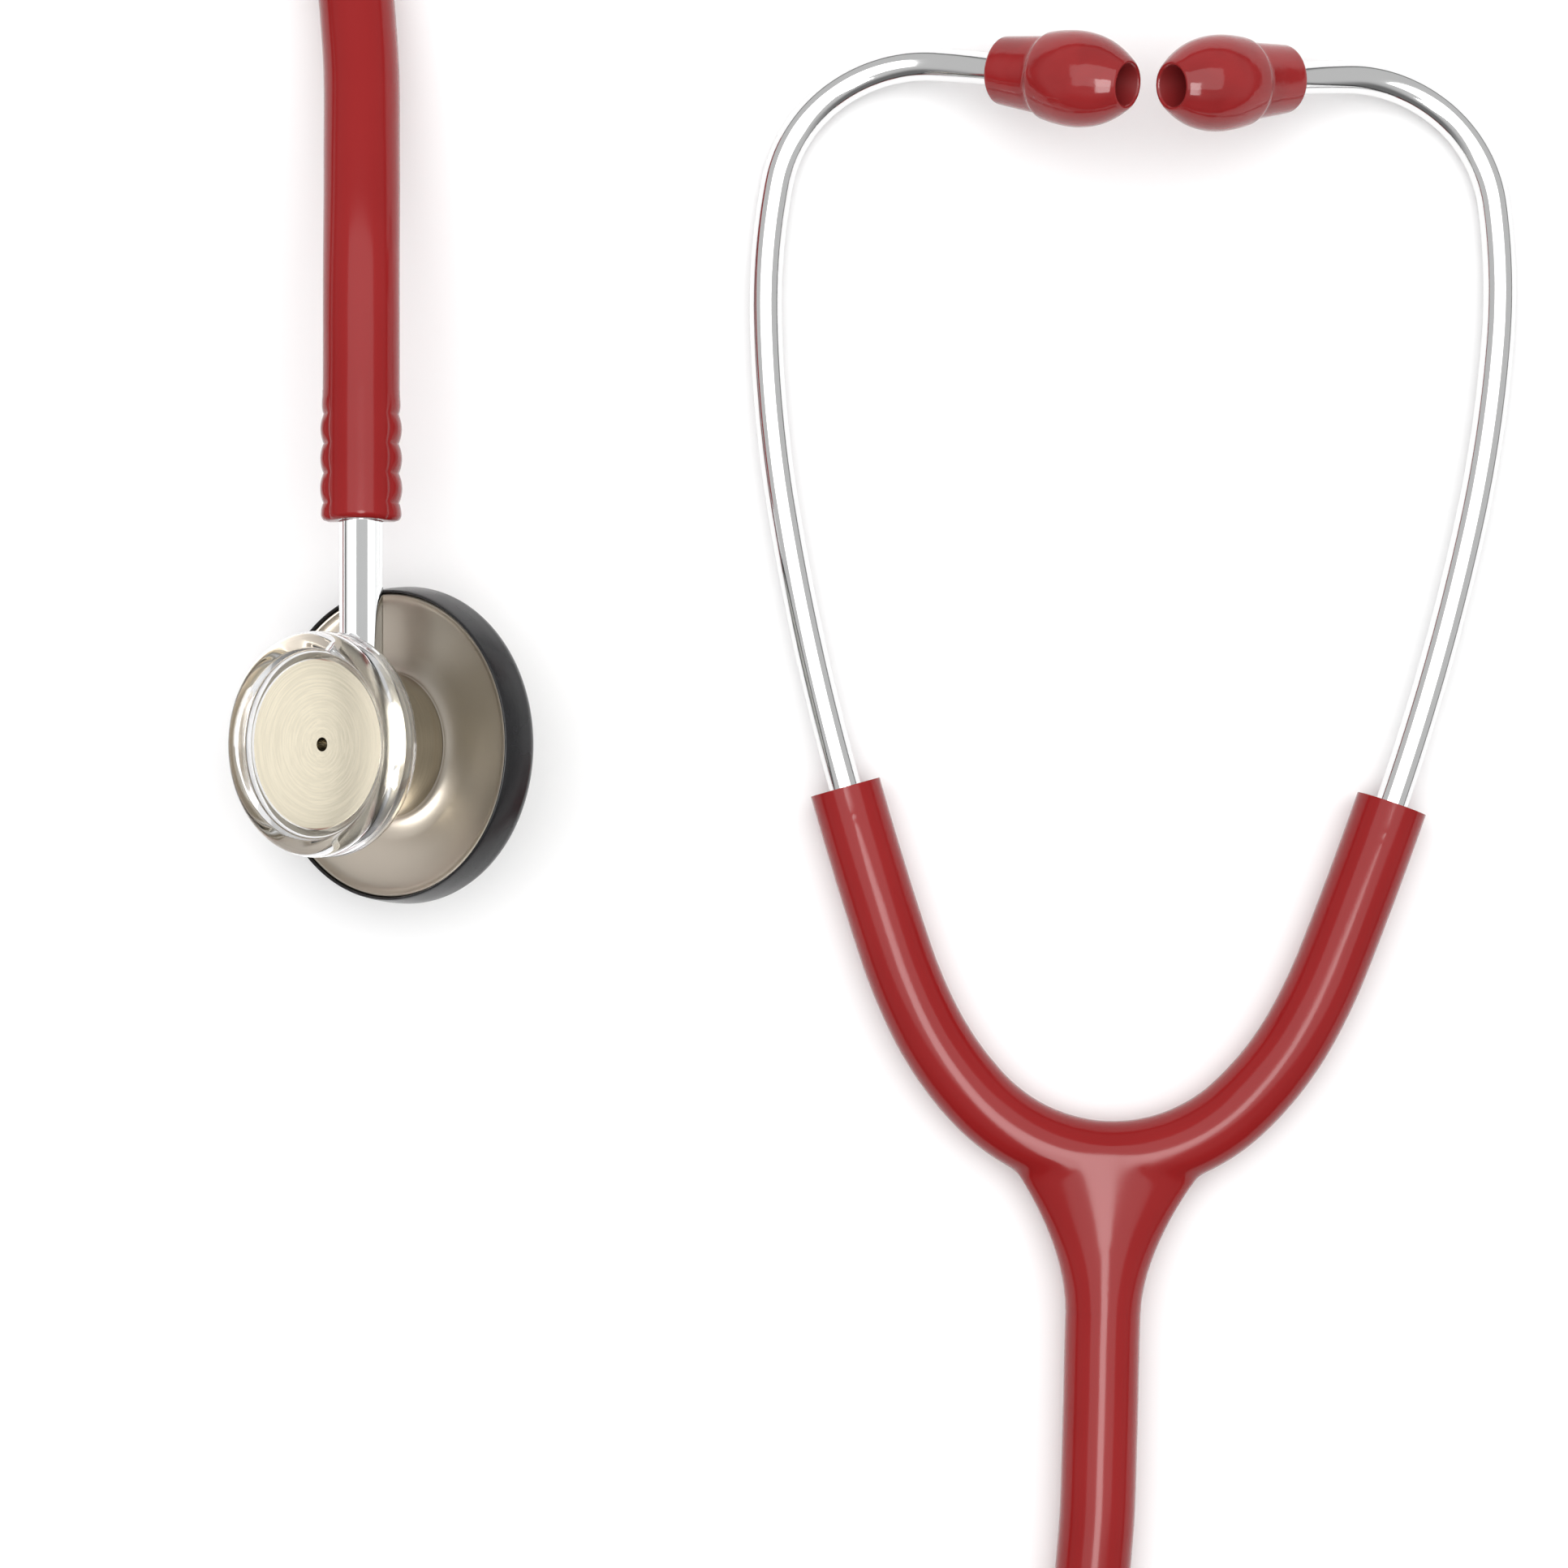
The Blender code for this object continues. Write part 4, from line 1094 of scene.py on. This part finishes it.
def tip_outline(radius, length):
    """The soft tip: a sleeve that widens to a shoulder, an olive bulb, and a flared mouth."""
    socket = 2.5 * MM
    sleeve = smooth_outline([
        (3.6 * MM, 0), (4.35 * MM, 0.02 * MM), (4.85 * MM, 0.35 * MM), (5.0 * MM, 1.1 * MM),
        (5.3 * MM, 4.2 * MM), (5.62 * MM, 7.4 * MM),
    ], 5)
    shoulder = smooth_outline([
        (5.62 * MM, 7.4 * MM), (5.8 * MM, 7.75 * MM), (6.15 * MM, 8.1 * MM), (6.42 * MM, 8.8 * MM),
        (6.75 * MM, 10.8 * MM), (radius, 13.0 * MM), (6.72 * MM, 15.2 * MM), (6.15 * MM, 17.4 * MM),
        (5.2 * MM, 19.4 * MM), (4.1 * MM, length - 0.75 * MM), (3.55 * MM, length - 0.12 * MM),
        (3.2 * MM, length), (2.95 * MM, length - 0.25 * MM),
    ], 5)
    mouth = smooth_outline([
        (2.95 * MM, length - 0.25 * MM), (2.75 * MM, length - 0.9 * MM), (2.3 * MM, length - 2.6 * MM),
        (1.8 * MM, length - 5.0 * MM),
    ], 5)
    return [
        (socket, 0.3 * MM), (socket + 0.2 * MM, 0), *sleeve[:-1], *shoulder, *mouth[1:],
        (1.75 * MM, 8.6 * MM), (socket, 8.6 * MM),
    ]


class STETH_OT_ear_tubes(bpy.types.Operator):
    """Builds the two bent ear tubes"""
    bl_idname = "steth.ear_tubes"
    bl_label = "Ear tubes"

    def execute(self, context):
        radius = context.scene.steth_headset.tube_radius
        for side, name in SIDES:
            line = headset_line(side)
            path = stretch(line, ARM_LENGTH - 12 * MM, TIP_START + 8 * MM, 0.9 * MM)
            bore = stretch(line, TIP_START + 3 * MM, TIP_START + 9 * MM, 1.5 * MM)
            mesh = combined(swept_mesh(path, radius, 14), swept_mesh(bore, EAR_TUBE_BORE, 6))
            piece = add_piece(f"{name}_ear_pipe", mesh, bpy.data.materials["chrome"])
            dress(piece, f"{name}_binaural", f"{name}_ear_tube")
        return {"FINISHED"}


class STETH_OT_ear_tips(bpy.types.Operator):
    """Builds the soft ear tips, and finishes the hard sleeves inside them"""
    bl_idname = "steth.ear_tips"
    bl_label = "Ear tips"

    def execute(self, context):
        settings = context.scene.steth_headset
        soft = tip_finish()
        mouth = mouth_shade_finish()
        nylon = plain_finish("white_nylon", (0.72, 0.71, 0.67), 0.45)
        for side, name in SIDES:
            mesh = turned_mesh(tip_outline(settings.tip_radius, settings.tip_length), 128)
            piece = add_piece(f"{name}_ear_olive", mesh, soft)
            # The faces inside the mouth take the painted-shade material.
            mesh.materials.append(mouth)
            for face in mesh.polygons:
                reach = math.hypot(face.center.x, face.center.y)
                if face.center.z > TIP_SOCKET_END and reach < TIP_MOUTH_RADIUS:
                    face.material_index = 1
            mesh.transform(tip_place(side))
            dress(piece, f"{name}_binaural", f"{name}_ear_tip")
            repaint(f"{name}_tip_insert", nylon)
        return {"FINISHED"}


# -------------------- stage

def aim(location, target):
    return (Vector(target) - Vector(location)).to_track_quat("-Z", "Y").to_euler()


def add_panel(name, location, target, size, radiance, kind="both", only=()):
    """A rectangular panel of even radiance, unseen by the camera.

    Its kind is both, shine, seen only in reflections, or fill, which never shows in them.
    With only, just those pieces see it.
    """
    data = bpy.data.lights.new(name, "AREA")
    data.shape = "RECTANGLE"
    data.size = size[0]
    data.size_y = size[1]
    data.energy = radiance * size[0] * size[1] * math.pi
    light = bpy.data.objects.new(name, data)
    light.location = location
    light.rotation_euler = aim(location, target)
    light.visible_camera = False
    light.visible_diffuse = kind != "shine"
    light.visible_glossy = kind != "fill"
    bpy.context.scene.collection.objects.link(light)
    if only:
        seen_by = bpy.data.collections.new(f"{name}_pieces")
        for piece in only:
            seen_by.objects.link(bpy.data.objects[piece])
        light.light_linking.receiver_collection = seen_by


def studio_world(settings):
    """A grey room: dark just above the table's edge, and darker towards the front."""
    world = bpy.data.worlds.new("studio")
    world.use_nodes = True
    graph = Graph(world.node_tree)
    _, y, z = graph.parts_of(graph.node("ShaderNodeTexCoord", output="Generated"))
    edge = graph.fitted(z, 0.02, 0.2, 0.12, 1)
    front = graph.fitted(0 - y, 0.35, 0.8, 0, 1) * graph.fitted(z, 0.75, 0.45, 0, 1)
    level = settings.sky * edge * (1 - settings.front_shade * front)
    room = graph.tree.nodes["Background"]
    feed(graph.tree, room.inputs["Strength"], level)
    seen = graph.tree.nodes.new("ShaderNodeBackground")
    seen.inputs["Color"].default_value = (0.95, 0.95, 0.95, 1)
    mix = graph.tree.nodes.new("ShaderNodeMixShader")
    feed(graph.tree, mix.inputs[0], graph.node("ShaderNodeLightPath", output="Is Camera Ray"))
    graph.tree.links.new(room.outputs[0], mix.inputs[1])
    graph.tree.links.new(seen.outputs[0], mix.inputs[2])
    graph.tree.links.new(mix.outputs[0], graph.tree.nodes["World Output"].inputs["Surface"])
    room.inputs["Color"].default_value = (1, 1, 1, 1)
    return world


class STETH_OT_stage(bpy.types.Operator):
    """Adds the table, the soft studio lights and the camera"""
    bl_idname = "steth.stage"
    bl_label = "Stage"

    def execute(self, context):
        settings = context.scene.steth_stage
        self.floor(context, settings)
        self.lights(context, settings)
        self.camera(context, settings)
        context.scene.view_settings.view_transform = "Standard"
        return {"FINISHED"}

    def floor(self, context, settings):
        bm = bmesh.new()
        half_width = 6
        just_below = Matrix.Translation((0, 0, -0.2 * MM))
        bmesh.ops.create_grid(bm, x_segments=1, y_segments=1, size=half_width, matrix=just_below)
        mesh = bpy.data.meshes.new("table_top")
        bm.to_mesh(mesh)
        bm.free()
        finish = Finish("table_top", settings.floor, roughness=0.7, specular=0.2)
        mesh.materials.append(finish.material)
        floor = bpy.data.objects.new("table_top", mesh)
        context.scene.collection.objects.link(floor)

    def lights(self, context, settings):
        context.scene.world = studio_world(settings)
        turned = ("hub_body", "housing_disc")
        stem = ("stem_shaft",)
        rest = [item.name for item in context.scene.objects if item.type in ("MESH", "CURVE")]
        rest = [name for name in rest if name not in turned + stem]
        add_panel("overhead", (0, 0.2, 1.0), (0, 0.2, 0), (1.6, 1.1), settings.overhead, only=rest)
        add_panel("fill", (0, 0, 1.8), (0, 0, 0), (4, 4), 0.32, "fill")
        add_panel("streak", (0.03, -0.5, 1.3), (0.03, -0.5, 0), (0.42, 1.04), 9.0, "shine", rest)
        for name, offset, size, radiance, only in (
            ("face_fill", (-1.25, 0, 0.42), (0.8, 1.5), 0.5, turned),
            ("top_fill", (0.1, 0.1, 1.2), (0.25, 0.3), 0.8, turned),
            ("neck_glint", (-0.65, -0.6, 0.47), (0.26, 0.6), 14.0, turned),
            ("stem_band", (-0.9, 0.1, 0.85), (0.5, 1.2), 1.2, stem),
            ("stem_side", (0.9, 0.1, 0.32), (0.35, 1.2), 0.8, stem),
        ):
            add_panel(name, SWIVEL + Vector(offset), SWIVEL, size, radiance, "shine", only)

    def camera(self, context, settings):
        data = bpy.data.cameras.new("camera")
        data.sensor_width = 36
        data.lens = data.sensor_width / 2 / math.tan(settings.half_view)
        data.clip_start = 0.01
        camera = bpy.data.objects.new("camera", data)
        beside_chestpiece = (SWIVEL.x + 60.4 * MM, SWIVEL.y - 5.6 * MM)
        camera.location = (*beside_chestpiece, settings.camera_height)
        context.scene.collection.objects.link(camera)
        context.scene.camera = camera


# -------------------- add-on

class STETH_PT_panel(bpy.types.Panel):
    """Shows the settings and a button for each step"""
    bl_idname = "STETH_PT_panel"
    bl_label = "Stethoscope"
    bl_space_type = "VIEW_3D"
    bl_region_type = "UI"
    bl_category = "Stethoscope"

    def draw(self, context):
        for name in SETTINGS:
            group = getattr(context.scene, name)
            box = self.layout.box()
            for key in group.bl_rna.properties.keys():
                if key not in ("rna_type", "name"):
                    box.prop(group, key)
        for operator in OPERATORS:
            self.layout.operator(operator.bl_idname)


OPERATORS = (
    STETH_OT_hub, STETH_OT_housing, STETH_OT_bell, STETH_OT_detent, STETH_OT_stem, STETH_OT_grip,
    STETH_OT_tube, STETH_OT_yoke, STETH_OT_leaf_spring, STETH_OT_ear_tubes, STETH_OT_ear_tips,
    STETH_OT_stage,
)


def register():
    for group in SETTINGS.values():
        bpy.utils.register_class(group)
    for name, group in SETTINGS.items():
        setattr(bpy.types.Scene, name, PointerProperty(type=group))
    for item in (*OPERATORS, STETH_PT_panel):
        bpy.utils.register_class(item)


def unregister():
    for item in reversed((*OPERATORS, STETH_PT_panel)):
        bpy.utils.unregister_class(item)
    for name, group in SETTINGS.items():
        delattr(bpy.types.Scene, name)
        bpy.utils.unregister_class(group)


def main():
    register()
    for operator in OPERATORS:
        group, name = operator.bl_idname.split(".")
        getattr(getattr(bpy.ops, group), name)()


if __name__ == "__main__":
    main()
